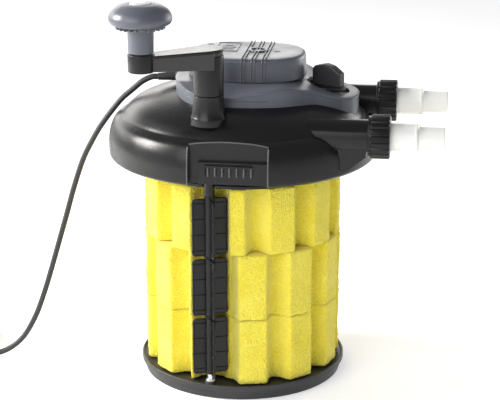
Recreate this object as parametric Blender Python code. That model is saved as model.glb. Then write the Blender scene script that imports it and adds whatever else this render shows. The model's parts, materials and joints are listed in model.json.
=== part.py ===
"""Pond filter insert: head with crank, lamp housing and ports, over a stack of foam rings.

Metres, +Z up. The origin is the centre of the base tray's underside, the hose ports point
along +X, and the crank side is -Y.
"""
import math

import bmesh
import bpy
from mathutils import Matrix, Vector

MM = 0.001
GAP = 0.3                      # clearance between pieces that touch, in mm

# Driving dimensions, all in millimetres
TRAY_R, TRAY_LIP_R, TRAY_LIP_Z = 146.2, 152.0, 23.0
TRAY_FLOOR_Z = 20.0
FOAM_TIP_R, FOAM_GROOVE_R, FOAM_BORE_R = 145.0, 124.0, 51.5
FOAM_H, FOAM_Z0, FOAM_LOBES = 98.0, 22.5, 12
FOAM_PHASE = (-76.5, -77.0, -89.5)     # a lobe's heading in each ring, bottom ring first
CORE_R, CORE_TOP = 50.0, 345.0
LID_R, LID_BOTTOM, LID_SHELF = 195.5, 332.0, 352.0
RIM_SPACE_R = 188.5            # kept clear inside the skirt for the tank's rim
SHAFT_X, SHAFT_Y = -29.5, -138.8
SHAFT_R, SLEEVE_R = 4.5, 7.7
PADDLE_Z0, PADDLE_H, PADDLE_PITCH = 38.0, 84.6, 89.5
VANE_R, VANE_T = 25.6, 2.6
CRANK_HEADING, CRANK_L, CRANK_HALF_W = 201.5, 94.0, 12.5
HUB_Z0, HUB_TOP, HUB_R = 452.0, 508.0, 21.1
SLEEVE_FOOT_Z = 302.2
BORE_R = 4.8                   # bores that sit on the drive shaft
KNOB_Z0, KNOB_PIN_R, KNOB_PIN_TOP = 515.0, 5.0, 561.0
PORT_Y, PORT_Z, PORT_R, PORT_BORE_R = 106.0, 390.0, 23.5, 18.0
NUT_X0, NUT_X1, NUT_R = 190.5, 221.0, 31.0
TAIL_STEP_X, TAIL_END_X = 258.8, 296.8
TAIL_R, TAIL_SMALL_R, TAIL_BORE_R = 20.0, 16.0, 13.0
COVER_X, COVER_A, COVER_B = 8.0, 85.0, 67.0
COVER_Z0, COVER_TOP = 452.3, 484.5
COVER_SCREWS = {"cover_screw_left": (-50.5, 35.0), "cover_screw_right": (51.5, -5.0)}
LENS_X, LENS_Y, LENS_R = 23.0, 1.0, 8.6
DIAL_X, DIAL_R = 125.0, 26.0
GLAND = (-95.8, 18.6, 440.0)
GLAND_L = 30.0
CORD_R = 4.25
COIL_X, COIL_Y, COIL_R, COIL_HALF_W, COIL_H = -472.0, 33.0, 50.0, 17.0, 34.0
PLUG_R = 19.0

# Outer profile of the lid's dome and skirt, (radius, height), from the centre outwards
LID_PROFILE = [(27, 436.6), (60, 434.8), (95, 430.2), (125, 423.5), (147, 415.5), (162, 407),
               (171, 398.5), (177, 393), (184, 388.2), (190, 380), (193.8, 369),
               (LID_R, 357), (LID_R, 338), (190, LID_BOTTOM)]
LID_INSIDE = [(186, LID_BOTTOM), (186, LID_SHELF), (157, LID_SHELF), (157, LID_SHELF + 5),
              (186, LID_SHELF + 5), (186, 366), (176, 376), (165, 385), (145, 404), (95, 422),
              (27, 430)]
LID_STEPS = 44

MATERIALS = {}


def clear_scene():
    for obj in list(bpy.data.objects):
        bpy.data.objects.remove(obj, do_unlink=True)


def material(name, color, roughness=0.4, metallic=0.0, alpha=1.0):
    mat = bpy.data.materials.new(name)
    mat.use_nodes = True
    shader = mat.node_tree.nodes["Principled BSDF"]
    shader.inputs["Base Color"].default_value = (*color, 1.0)
    shader.inputs["Roughness"].default_value = roughness
    shader.inputs["Metallic"].default_value = metallic
    shader.inputs["Alpha"].default_value = alpha
    MATERIALS[name] = mat


def make_materials():
    material("black_plastic", (0.018, 0.018, 0.020), 0.30)
    material("grey_plastic", (0.115, 0.125, 0.150), 0.38)
    material("light_grey_plastic", (0.42, 0.45, 0.48), 0.40)
    material("white_plastic", (0.86, 0.86, 0.82), 0.35)
    material("foam", (0.90, 0.74, 0.06), 0.95)
    material("rubber", (0.012, 0.012, 0.012), 0.75)
    material("steel", (0.62, 0.62, 0.62), 0.25, 1.0)
    material("quartz", (0.85, 0.92, 0.95), 0.05, 0.0, 0.35)
    material("lamp_glass", (0.90, 0.93, 0.95), 0.08)
    material("lens", (0.35, 0.45, 0.60), 0.08)
    material("cord_rubber", (0.020, 0.020, 0.022), 0.50)


def polar(radius, degrees):
    angle = math.radians(degrees)
    return radius * math.cos(angle), radius * math.sin(angle)


def finish(name, bm, slot, origin=(0.0, 0.0, 0.0), helper=False):
    """Turn a bmesh drawn in world millimetres into an object with its origin at `origin`."""
    bmesh.ops.recalc_face_normals(bm, faces=bm.faces)
    bmesh.ops.transform(bm, matrix=Matrix.Scale(MM, 4), verts=bm.verts)
    place = Vector(origin) * MM
    bmesh.ops.translate(bm, vec=-place, verts=bm.verts)
    mesh = bpy.data.meshes.new(name)
    bm.to_mesh(mesh)
    bm.free()
    obj = bpy.data.objects.new(name, mesh)
    obj.location = place
    bpy.context.scene.collection.objects.link(obj)
    if helper:
        obj.hide_render = True
        obj.display_type = "WIRE"
    else:
        mesh.materials.append(MATERIALS[slot])
        mesh.shade_smooth()
        mesh.set_sharp_from_angle(angle=math.radians(30))
    return obj


def lathe_mesh(profile, steps, closed, center=(0.0, 0.0), axis="Z"):
    """Spin (radius, height) points about a vertical axis, or about X when axis is "X"."""
    bm = bmesh.new()
    verts = [bm.verts.new((r, 0.0, h)) for r, h in profile]
    pairs = list(zip(verts, verts[1:]))
    if closed:
        pairs.append((verts[-1], verts[0]))
    edges = [bm.edges.new(pair) for pair in pairs]
    bmesh.ops.spin(bm, geom=verts + edges, cent=(0, 0, 0), axis=(0, 0, 1),
                   angle=math.tau, steps=steps, use_merge=True)
    bmesh.ops.remove_doubles(bm, verts=bm.verts, dist=0.0005)
    if axis == "X":
        bmesh.ops.transform(bm, matrix=Matrix.Rotation(math.radians(90), 4, "Y"), verts=bm.verts)
        bmesh.ops.translate(bm, vec=(0.0, center[0], center[1]), verts=bm.verts)
    elif axis == "Y":
        bmesh.ops.transform(bm, matrix=Matrix.Rotation(math.radians(-90), 4, "X"), verts=bm.verts)
        bmesh.ops.translate(bm, vec=(center[0], 0.0, center[1]), verts=bm.verts)
    else:
        bmesh.ops.translate(bm, vec=(center[0], center[1], 0.0), verts=bm.verts)
    return bm


def lathe(name, profile, slot, steps=32, closed=False, center=(0.0, 0.0), axis="Z",
          origin=(0.0, 0.0, 0.0), helper=False):
    bm = lathe_mesh(profile, steps, closed, center, axis)
    return finish(name, bm, slot, origin, helper)


def tube_profile(outer, inner, low, high):
    return [(outer, high), (outer, low), (inner, low), (inner, high)]


def rod_profile(radius, low, high):
    return [(0, high), (radius, high), (radius, low), (0, low)]


def prism_mesh(outline, low, high, top_of=None):
    """Extrude a plan outline from `low` to `high`, or to a curved top given by top_of(x, y)."""
    bm = bmesh.new()
    if top_of is None:
        face = bm.faces.new([bm.verts.new((x, y, low)) for x, y in outline])
        grown = bmesh.ops.extrude_face_region(bm, geom=[face])
        for vert in grown["geom"]:
            if isinstance(vert, bmesh.types.BMVert):
                vert.co.z = high
        return bm
    mid = sum((x for x, _ in outline)) / len(outline), sum((y for _, y in outline)) / len(outline)
    rings = [[bm.verts.new((x, y, low)) for x, y in outline]]
    bm.faces.new(rings[0])
    for share in (1.0, 0.75, 0.4):
        ring = []
        for x, y in outline:
            px, py = mid[0] + share * (x - mid[0]), mid[1] + share * (y - mid[1])
            ring.append(bm.verts.new((px, py, top_of(px, py))))
        rings.append(ring)
    for first, second in zip(rings, rings[1:]):
        for k in range(len(first)):
            n = (k + 1) % len(first)
            bm.faces.new((first[k], first[n], second[n], second[k]))
    peak = bm.verts.new((*mid, top_of(*mid)))
    for k in range(len(outline)):
        bm.faces.new((rings[-1][k], rings[-1][(k + 1) % len(outline)], peak))
    bmesh.ops.triangulate(bm, faces=bm.faces)
    return bm


def prism(name, outline, low, high, slot, top_of=None, origin=(0.0, 0.0, 0.0), helper=False):
    return finish(name, prism_mesh(outline, low, high, top_of), slot, origin, helper)


def add_box(bm, low, high, turn=0.0, pivot=(0.0, 0.0)):
    size = [b - a for a, b in zip(low, high)]
    mid = [(a + b) / 2 for a, b in zip(low, high)]
    made = bmesh.ops.create_cube(bm, size=1.0)
    place = Matrix.Translation(mid) @ Matrix.Diagonal((*size, 1.0))
    if turn:
        about = Matrix.Translation((*pivot, 0.0)) @ Matrix.Rotation(math.radians(turn), 4, "Z")
        place = about @ Matrix.Translation((-pivot[0], -pivot[1], 0.0)) @ place
    bmesh.ops.transform(bm, matrix=place, verts=made["verts"])


def box_helper(name, low, high):
    bm = bmesh.new()
    add_box(bm, low, high)
    return finish(name, bm, None, helper=True)


def rod_helper(name, radius, low, high, center=(0.0, 0.0), axis="Z", steps=24):
    return lathe(name, rod_profile(radius, low, high), None, steps, center=center, axis=axis,
                 helper=True)


def boolean(obj, tool, operation="DIFFERENCE"):
    mod = obj.modifiers.new(operation.title() + " " + tool.name, "BOOLEAN")
    mod.operation = operation
    mod.solver = "EXACT"
    mod.object = tool


def dome_cutter(name):
    """The lid's outer form raised by the working gap: what rests on the lid is cut with it."""
    rim = [(r, z + GAP) for r, z in LID_PROFILE if z > LID_BOTTOM]
    profile = [(0, LID_PROFILE[0][1] + 0.4 + GAP)] + rim + [(190, 300), (0, 300)]
    return lathe(name, profile, None, LID_STEPS, helper=True)


def smooth_outline(points, per_span=3):
    """A closed Catmull-Rom curve through plan points."""
    out = []
    count = len(points)
    for i in range(count):
        p0, p1, p2, p3 = (Vector(points[(i + k) % count]) for k in (-1, 0, 1, 2))
        for step in range(per_span):
            t = step / per_span
            co = 0.5 * ((2 * p1) + (p2 - p0) * t + (2 * p0 - 5 * p1 + 4 * p2 - p3) * t * t
                        + (3 * p1 - p0 - 3 * p2 + p3) * t ** 3)
            out.append((co.x, co.y))
    return out


# ---------------------------------------------------------------- head: lid and ports

def lid():
    obj = lathe("lid", LID_PROFILE + LID_INSIDE, "black_plastic", LID_STEPS, closed=True)
    boolean(obj, box_helper("recess_backing", (-56, -178.6, 334), (61, -168, 378)), "UNION")
    for side, y in (("front", -PORT_Y), ("rear", PORT_Y)):
        gusset = bmesh.new()
        corners = [(140, 342), (160, 342), (188, 364), (188, 392), (140, 392)]
        face = gusset.faces.new([gusset.verts.new((x, y - 17, z)) for x, z in corners])
        grown = bmesh.ops.extrude_face_region(gusset, geom=[face])
        moved = [v for v in grown["geom"] if isinstance(v, bmesh.types.BMVert)]
        bmesh.ops.translate(gusset, vec=(0, 34, 0), verts=moved)
        web = finish(side + "_gusset", gusset, None, helper=True)
        boolean(web, rod_helper(side + "_rim_space", RIM_SPACE_R, 320, 366, steps=LID_STEPS))
        boolean(obj, web, "UNION")
        pipe = rod_helper(side + "_pipe", PORT_R, 96, 208, (y, PORT_Z), "X", 26)
        boolean(obj, pipe, "UNION")
        bore = rod_helper(side + "_pipe_bore", PORT_BORE_R, 90, 220, (y, PORT_Z), "X", 20)
        boolean(obj, bore)
    boolean(obj, box_helper("recess_cut", (-53, -215, 320), (58, -175, 405)))
    boolean(obj, rod_helper("shaft_hole", 9.0, 380, 450, (SHAFT_X, SHAFT_Y)))
    boolean(obj, rod_helper("selector_hole", 6.8, 400, 440, (DIAL_X, 0.0), steps=20))
    return obj


def lid_seal():
    lathe("lid_seal", tube_profile(166.0, 158.6, LID_SHELF - 6.0, LID_SHELF - GAP), "rubber",
          36, closed=True)


def union_fittings():
    for side, y in (("front", -PORT_Y), ("rear", PORT_Y)):
        at = (y, PORT_Z)
        origin = (0.0, y, PORT_Z)
        nut = [(NUT_R, NUT_X0), (24.2, NUT_X0), (24.2, 216.0), (20.5, 216.0), (20.5, NUT_X1),
               (NUT_R - 1.0, NUT_X1), (NUT_R, NUT_X1 - 1.5)]
        lathe("union_nut_" + side, nut, "black_plastic", 26, True, at, "X", origin)
        seal = tube_profile(23.3, 18.2, 208.3, 211.0)
        lathe("port_seal_" + side, seal, "rubber", 20, True, at, "X")
        tail = [(23.4, 211.3), (23.4, 215.6), (TAIL_R, 215.6), (TAIL_R, TAIL_STEP_X - 1.5),
                (TAIL_R - 1.0, TAIL_STEP_X), (TAIL_SMALL_R, TAIL_STEP_X),
                (TAIL_SMALL_R, TAIL_END_X), (TAIL_BORE_R, TAIL_END_X), (TAIL_BORE_R, 211.3)]
        lathe("hose_tail_" + side, tail, "white_plastic", 24, True, at, "X")


# ---------------------------------------------------------------- lamp housing

def collar_outline(inset=0.0):
    """Plan of the housing's base: broad round the lamp, with a lobe round the selector."""
    half = [(-94, 0), (-92, -35), (-84, -62), (-69, -89), (-49, -106), (-24, -112), (6, -113),
            (36, -109), (66, -98), (92, -80), (112, -63), (131, -55), (149, -47), (162, -34),
            (168, -17), (169, 0)]
    whole = half + [(x, -y) for x, y in reversed(half[1:-1])]
    outline = smooth_outline(whole, 1)
    if not inset:
        return outline
    shrunk = []
    for i, (x, y) in enumerate(outline):
        ahead, behind = outline[(i + 1) % len(outline)], outline[i - 1]
        along = Vector((ahead[0] - behind[0], ahead[1] - behind[1])).normalized()
        shrunk.append((x - along.y * inset, y + along.x * inset))
    return shrunk


def collar_top(x, y):
    """The base's upper face: level under the cover, falling with the lid at the lobe."""
    start, end = 60.0, 169.0
    t = min(max((x - start) / (end - start), 0.0), 1.0)
    fall = 25.0 * t * t * (3 - 2 * t)
    side = min(max((abs(y) - 66.0) / 46.0, 0.0), 1.0) * min(max((60.0 - x) / 60.0, 0.0), 1.0)
    return 451.8 - fall - 10.0 * side


def lamp_base():
    outline = collar_outline()
    obj = prism("lamp_base", outline, 385.0, 0.0, "grey_plastic", collar_top)
    inside = collar_outline(5.0)
    hollow = prism_mesh(inside, 380.0, 0.0, lambda x, y: collar_top(x, y) - 5.0)
    boolean(obj, finish("lamp_base_hollow", hollow, None, helper=True))
    window = [(x * 0.84 + COVER_X * 0.16, y * 0.84) for x, y in cover_outline(0.0)]
    boolean(obj, prism("lamp_base_window", window, 430.0, 470.0, None, helper=True))
    boolean(obj, rod_helper("selector_well", 31.0, 405, 470, (DIAL_X, 0.0), steps=32))
    boolean(obj, dome_cutter("dome_under_base"))
    return obj


def cover_outline(inset, steps=36, power=2.5):
    out = []
    for i in range(steps):
        angle = math.tau * i / steps
        c, s = math.cos(angle), math.sin(angle)
        x = math.copysign(abs(c) ** (2 / power), c)
        y = math.copysign(abs(s) ** (2 / power), s)
        out.append((COVER_X + (COVER_A - inset) * x, (COVER_B - inset) * y))
    return out


def lamp_cover():
    bm = bmesh.new()
    levels = [(COVER_Z0, 0.0), (COVER_TOP - 4.0, 1.6), (COVER_TOP - 1.4, 3.0), (COVER_TOP, 6.5)]
    rings = []
    for z, inset in levels:
        rings.append([bm.verts.new((x, y, z)) for x, y in cover_outline(inset)])
    bm.faces.new(rings[0])
    bm.faces.new(rings[-1])
    for low, high in zip(rings, rings[1:]):
        for i in range(len(low)):
            j = (i + 1) % len(low)
            bm.faces.new((low[i], low[j], high[j], high[i]))
    obj = finish("lamp_cover", bm, "grey_plastic")
    hollow = prism_mesh(cover_outline(5.0), 445.0, COVER_TOP - 5.0)
    boolean(obj, finish("lamp_cover_hollow", hollow, None, helper=True))
    boolean(obj, rod_helper("lens_hole", LENS_R + 0.4, 460, 500, (LENS_X, LENS_Y), steps=20))
    for name, (x, y) in COVER_SCREWS.items():
        boolean(obj, rod_helper(name + "_counterbore", 4.6, COVER_TOP - 2.6, 500, (x, y), steps=16))
        boolean(obj, rod_helper(name + "_hole", 2.4, 460, 500, (x, y), steps=12))
    return obj


def cover_fittings():
    for name, (x, y) in COVER_SCREWS.items():
        head = COVER_TOP - 2.3
        profile = [(0, head + 2.0), (3.2, head + 2.0), (4.2, head + 1.0), (4.2, head),
                   (2.0, head), (2.0, 456.0), (0, 455.0)]
        lathe(name, profile, "steel", 16, center=(x, y))
    lens = [(0, COVER_TOP + 0.6), (6.0, COVER_TOP + 0.2), (LENS_R, COVER_TOP - 1.0),
            (LENS_R, COVER_TOP - 4.8), (0, COVER_TOP - 4.8)]
    lathe("lamp_lens", lens, "lens", 20, center=(LENS_X, LENS_Y))
    bm = bmesh.new()
    add_box(bm, (-50, -42, 456), (8, -2, 476))
    finish("ballast", bm, "black_plastic")


def lamp_parts():
    nut = [(36.0, 444.0), (36.0, 437.7), (26.6, 437.7), (26.6, 424.0), (22.5, 424.0),
           (22.5, 444.0)]
    lathe("sleeve_nut", nut, "black_plastic", 24, closed=True)
    lathe("sleeve_seal", tube_profile(26.2, 22.4, 419.6, 423.7), "rubber", 20, closed=True)
    sleeve = [(22.0, 436.0), (22.0, 104.0), (19.0, 95.0), (12.0, 90.0), (0, 88.0), (0, 90.0),
              (11.2, 91.8), (17.6, 96.6), (20.3, 105.0), (20.3, 436.0)]
    bm = bmesh.new()
    verts = [bm.verts.new((r, 0.0, z)) for r, z in sleeve]
    edges = [bm.edges.new((verts[i], verts[i + 1])) for i in range(len(verts) - 1)
             if not (sleeve[i][0] == 0 and sleeve[i + 1][0] == 0)]
    edges.append(bm.edges.new((verts[-1], verts[0])))
    bmesh.ops.spin(bm, geom=verts + edges, cent=(0, 0, 0), axis=(0, 0, 1), angle=math.tau,
                   steps=20, use_merge=True)
    bmesh.ops.remove_doubles(bm, verts=bm.verts, dist=0.0005)
    finish("quartz_sleeve", bm, "quartz")
    socket = [(0, 450.0), (30.0, 450.0), (30.0, 446.0), (19.5, 444.5), (19.5, 428.0), (0, 428.0)]
    lathe("lamp_socket", socket, "black_plastic", 22)
    lamp = lathe("uv_lamp", rod_profile(17.0, 404.0, 427.6), "lamp_glass", 24)
    boolean(lamp, u_tube("uv_lamp_tube", 9.5, 7.4, 140.0, 410.0), "UNION")


def u_tube(name, half_span, radius, low, high, sides=12, bend_steps=6):
    """A hairpin tube that hangs down in the XZ plane."""
    path = [(-half_span, high), (-half_span, low)]
    for i in range(1, bend_steps):
        angle = math.pi + math.pi * i / bend_steps
        path.append((half_span * math.cos(angle), low + half_span * math.sin(angle)))
    path += [(half_span, low), (half_span, high)]
    bm = bmesh.new()
    rings = []
    for i, (x, z) in enumerate(path):
        ahead = path[min(i + 1, len(path) - 1)]
        behind = path[max(i - 1, 0)]
        along = Vector((ahead[0] - behind[0], 0.0, ahead[1] - behind[1])).normalized()
        side = Vector((0.0, 1.0, 0.0)).cross(along)
        ring = []
        for k in range(sides):
            turn = math.tau * k / sides
            offset = side * (radius * math.cos(turn)) + Vector((0, radius * math.sin(turn), 0))
            ring.append(bm.verts.new(Vector((x, 0.0, z)) + offset))
        rings.append(ring)
    bm.faces.new(rings[0])
    bm.faces.new(rings[-1])
    for first, second in zip(rings, rings[1:]):
        for k in range(sides):
            n = (k + 1) % sides
            bm.faces.new((first[k], first[n], second[n], second[k]))
    return finish(name, bm, None, helper=True)


# ---------------------------------------------------------------- selector valve

def selector():
    origin = (DIAL_X, 0.0, 0.0)
    knob = lathe("selector_knob", [(0, 437.5), (DIAL_R - 1.5, 437.5), (DIAL_R, 436.0),
                                   (DIAL_R, 431.2), (0, 431.2)],
                 "black_plastic", 32, center=(DIAL_X, 0.0), origin=origin)
    blade = bmesh.new()
    side = [(-23, 435), (23, 435), (23, 452), (12, 462), (-6, 467), (-20, 466), (-23, 462)]
    face = blade.faces.new([blade.verts.new((x, -6.5, z)) for x, z in side])
    grown = bmesh.ops.extrude_face_region(blade, geom=[face])
    moved = [v for v in grown["geom"] if isinstance(v, bmesh.types.BMVert)]
    bmesh.ops.translate(blade, vec=(0, 13, 0), verts=moved)
    turn = Matrix.Translation((DIAL_X, 0.0, 0.0)) @ Matrix.Rotation(math.radians(-28), 4, "Z")
    bmesh.ops.transform(blade, matrix=turn, verts=blade.verts)
    boolean(knob, finish("selector_blade", blade, None, helper=True), "UNION")
    lathe("selector_spindle", rod_profile(6.0, 395.6, 430.8), "black_plastic", 20,
          center=(DIAL_X, 0.0), origin=origin)
    rotor = lathe("selector_rotor", rod_profile(27.0, 362.0, 395.2), "black_plastic", 28,
                  center=(DIAL_X, 0.0), origin=origin)
    boolean(rotor, rod_helper("rotor_port", 12.0, -40, 40, (DIAL_X, 378.6), "Y", 20))


# ---------------------------------------------------------------- crank and paddles

def crank_tip():
    dx, dy = polar(CRANK_L, CRANK_HEADING)
    return SHAFT_X + dx, SHAFT_Y + dy


def crank():
    axis = (SHAFT_X, SHAFT_Y)
    origin = (SHAFT_X, SHAFT_Y, 0.0)
    tip = crank_tip()
    arm = bmesh.new()
    half = CRANK_HALF_W
    ends = ((14.0, 489.5, 517.0), (-CRANK_L, 490.0, 511.5))
    corners = []
    for along, low, high in ends:
        for across, z in ((-half, low), (half, low), (half, high), (-half, high)):
            corners.append(arm.verts.new((-along, across, z)))
    for quad in ((0, 1, 2, 3), (4, 5, 6, 7), (0, 1, 5, 4), (1, 2, 6, 5), (2, 3, 7, 6),
                 (3, 0, 4, 7)):
        arm.faces.new([corners[i] for i in quad])
    turn = Matrix.Translation((SHAFT_X, SHAFT_Y, 0)) @ Matrix.Rotation(
        math.radians(CRANK_HEADING), 4, "Z")
    bmesh.ops.transform(arm, matrix=turn, verts=arm.verts)
    obj = finish("crank_arm", arm, "black_plastic", origin)
    hub = rod_helper("crank_hub", HUB_R, HUB_Z0, HUB_TOP, axis, steps=36)
    boolean(obj, hub, "UNION")
    boolean(obj, rod_helper("crank_socket", 18.6, 489.0, 514.4, tip, steps=32), "UNION")
    boolean(obj, rod_helper("crank_hub_bore", BORE_R, 440, 499.6, axis, steps=20))
    boolean(obj, rod_helper("crank_pin_bore", KNOB_PIN_R + GAP, 495.4, 530, tip, steps=20))
    lathe("drive_shaft", rod_profile(SHAFT_R, 15.6, 499.0), "steel", 20, center=axis,
          origin=origin)
    lathe("shaft_sleeve", tube_profile(SLEEVE_R, BORE_R, SLEEVE_FOOT_Z, HUB_Z0 - GAP),
          "black_plastic", 24, True, axis, origin=origin)
    lathe("knob_pin", rod_profile(KNOB_PIN_R, 495.8, KNOB_PIN_TOP), "steel", 20, center=tip,
          origin=origin)
    for i, name in enumerate(("paddle_lower", "paddle_middle", "paddle_upper")):
        paddle(name, PADDLE_Z0 + i * PADDLE_PITCH)
    knob(tip)


def paddle(name, low):
    """Four flat vanes round a hub."""
    hub_r, arc_steps = 7.0, 3
    outline = []
    for k in range(4):
        heading = CRANK_HEADING + 90.0 * k
        for along, across in ((VANE_R, -VANE_T / 2), (VANE_R, VANE_T / 2)):
            c, s = polar(1.0, heading)
            outline.append((SHAFT_X + along * c - across * s, SHAFT_Y + along * s + across * c))
        edge = math.degrees(math.asin(VANE_T / 2 / hub_r))
        for step in range(arc_steps + 1):
            turn = edge + (90.0 - 2 * edge) * step / arc_steps
            dx, dy = polar(hub_r, heading + turn)
            outline.append((SHAFT_X + dx, SHAFT_Y + dy))
    origin = (SHAFT_X, SHAFT_Y, 0.0)
    obj = prism(name, outline, low, low + PADDLE_H, "black_plastic", origin=origin)
    boolean(obj, rod_helper(name + "_bore", BORE_R, low - 5, low + PADDLE_H + 5,
                            (SHAFT_X, SHAFT_Y), steps=16))


def knob(tip):
    origin = (*tip, 0.0)
    body = [(0, 580.5), (15.6, 580.5), (15.6, 583.3), (30, 580.5), (40, 573), (43, 565),
            (42.8, 557), (39.5, 550.5), (22, 547.5), (18, 543), (17.6, 538), (17.6, KNOB_Z0),
            (KNOB_PIN_R + GAP, KNOB_Z0), (KNOB_PIN_R + GAP, KNOB_PIN_TOP + 1), (0, KNOB_PIN_TOP + 1)]
    lathe("crank_knob", body, "grey_plastic", 26, center=tip, origin=origin)
    cap = [(0, 585.0), (12.5, 584.6), (15.2, 583.2), (15.2, 580.8), (0, 580.8)]
    lathe("knob_cap", cap, "light_grey_plastic", 20, center=tip, origin=origin)


def shaft_boss():
    axis = (SHAFT_X, SHAFT_Y)
    profile = [(22.2, HUB_Z0 - GAP), (22.2, 428), (22.8, 418), (24.8, 409), (24.8, 392),
               (9.0, 392), (9.0, 440), (12.0, 440), (12.0, HUB_Z0 - GAP)]
    obj = lathe("shaft_boss", profile, "black_plastic", 24, True, axis)
    boolean(obj, dome_cutter("dome_under_boss"))
    lathe("shaft_seal", tube_profile(11.7, 8.0, 440.4, 446.0), "rubber", 24, True, axis)


# ---------------------------------------------------------------- foam cartridge

def foam_outline(phase):
    """Twelve broad lobes with U-shaped grooves between them."""
    tip_half = 8.3
    pitch = 360.0 / FOAM_LOBES
    out = []
    for k in range(FOAM_LOBES):
        middle = phase + k * pitch
        for turn, drop in ((-tip_half, 1.5), (-tip_half + 2.0, 0.0), (0, 0.0),
                           (tip_half - 2.0, 0.0), (tip_half, 1.5)):
            out.append(polar(FOAM_TIP_R - drop, middle + turn))
        for share in (0.22, 0.5, 0.78):
            deep = FOAM_GROOVE_R + (0.0 if share == 0.5 else 4.0)
            out.append(polar(deep, middle + tip_half + share * (pitch - 2 * tip_half)))
    return out


def foams():
    for i, name in enumerate(("foam_lower", "foam_middle", "foam_upper")):
        low = FOAM_Z0 + i * FOAM_H
        obj = prism(name, foam_outline(FOAM_PHASE[i]), low, low + FOAM_H - GAP, "foam")
        bore = rod_helper(name + "_bore", FOAM_BORE_R, low - 5, low + FOAM_H + 5, steps=36)
        boolean(obj, bore)
        pocket = rod_helper(name + "_pocket", VANE_R + 1.6, low - 5, low + FOAM_H + 5,
                            (SHAFT_X, SHAFT_Y))
        boolean(obj, pocket)


def core_tube():
    obj = lathe("core_tube", tube_profile(CORE_R, 46.0, TRAY_FLOOR_Z + GAP, CORE_TOP),
                "black_plastic", 30, closed=True)
    slots = bmesh.new()
    rows, columns = 4, 5
    for row in range(rows):
        low = 36.0 + row * 74.0
        for column in range(columns):
            add_box(slots, (38, -11, low), (58, 11, low + 58.0), 360.0 / columns * column)
    boolean(obj, finish("core_slots", slots, None, helper=True))


def top_plate():
    low = FOAM_Z0 + 3 * FOAM_H + 1.0
    profile = [(146.0, low + 5.0), (146.0, low), (CORE_R + 0.4, low), (CORE_R + 0.4, low + 14.0),
               (56.0, low + 14.0), (56.0, low + 5.0)]
    obj = lathe("top_plate", profile, "black_plastic", 36, closed=True)
    boolean(obj, rod_helper("plate_shaft_hole", 9.5, low - 5, low + 20, (SHAFT_X, SHAFT_Y)))
    boolean(obj, box_helper("plate_shaft_slot", (SHAFT_X - 9.5, -160, low - 5),
                            (SHAFT_X + 9.5, SHAFT_Y, low + 20)))


def base_tray():
    profile = [(0, TRAY_FLOOR_Z), (149.0, TRAY_FLOOR_Z), (149.0, TRAY_LIP_Z),
               (TRAY_LIP_R - 0.6, TRAY_LIP_Z), (TRAY_LIP_R, TRAY_LIP_Z - 0.8),
               (TRAY_LIP_R, TRAY_LIP_Z - 8.5), (TRAY_R + 0.8, TRAY_LIP_Z - 9.5),
               (TRAY_R, 0.8), (TRAY_R - 0.8, 0), (0, 0)]
    obj = lathe("base_tray", profile, "black_plastic", 44)
    boss = rod_helper("tray_boss", 8.2, 15.0, 26.0, (SHAFT_X, SHAFT_Y))
    boolean(obj, boss, "UNION")
    boolean(obj, rod_helper("bush_hole", 6.3, 14.5, 40.0, (SHAFT_X, SHAFT_Y), steps=20))
    wedge = bmesh.new()
    count = 8
    for k in range(count):
        outline = []
        for radius, sweep in ((30.0, 12.0), (136.0, 20.0)):
            turns = [-sweep, 0.0, sweep]
            if radius > 100:
                turns = [sweep, sweep / 2, 0.0, -sweep / 2, -sweep]
            outline += [polar(radius, 360.0 / count * k + turn) for turn in turns]
        face = wedge.faces.new([wedge.verts.new((x, y, -3.0)) for x, y in outline])
        grown = bmesh.ops.extrude_face_region(wedge, geom=[face])
        moved = [v for v in grown["geom"] if isinstance(v, bmesh.types.BMVert)]
        bmesh.ops.translate(wedge, vec=(0, 0, 15.0), verts=moved)
    boolean(obj, finish("tray_pockets", wedge, None, helper=True))
    lathe("shaft_bush", tube_profile(6.0, BORE_R, 14.8, 27.5), "white_plastic", 20, True,
          (SHAFT_X, SHAFT_Y))


# ---------------------------------------------------------------- mains lead

def cord_route():
    """Centre line from the strain relief over the lid's edge and along the floor."""
    return [(-127.0, 14.76, 438.6), (-136.0, 13.74, 438.1), (-150, 12.0, 431.5),
            (-165, 10.0, 419.0), (-180, 8.1, 406.0), (-195, 6.2, 388.0), (-209, 4.6, 369.0),
            (-221, 3.0, 349.5), (-239, 1.0, 314.0), (-254, -1.0, 270.0), (-266, -2.5, 228.0),
            (-278, -4.0, 187.0), (-290, -6.0, 146.0), (-303, -8.0, 104.0), (-318, -11.0, 64.0),
            (-338, -16.0, 30.0), (-364, -22.0, 10.0), (-392, -27.5, 4.6), (-423, -30.0, 4.5)]


def smooth_route(points, spacing):
    """Points at an even spacing on a Catmull-Rom curve through the route."""
    padded = [2 * Vector(points[0]) - Vector(points[1])] + [Vector(p) for p in points]
    padded.append(2 * Vector(points[-1]) - Vector(points[-2]))
    dense = []
    for p0, p1, p2, p3 in zip(padded, padded[1:], padded[2:], padded[3:]):
        for step in range(16):
            t = step / 16
            dense.append(0.5 * ((2 * p1) + (p2 - p0) * t + (2 * p0 - 5 * p1 + 4 * p2 - p3) * t * t
                                + (3 * p1 - p0 - 3 * p2 + p3) * t ** 3))
    dense.append(padded[-2])
    total = sum((b - a).length for a, b in zip(dense, dense[1:]))
    count = max(2, round(total / spacing))
    out, run, target = [dense[0]], 0.0, total / count
    for a, b in zip(dense, dense[1:]):
        step = (b - a).length
        while run + step >= target * len(out) and len(out) < count:
            out.append(a.lerp(b, (target * len(out) - run) / step))
        run += step
    out.append(dense[-1])
    return out


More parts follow.
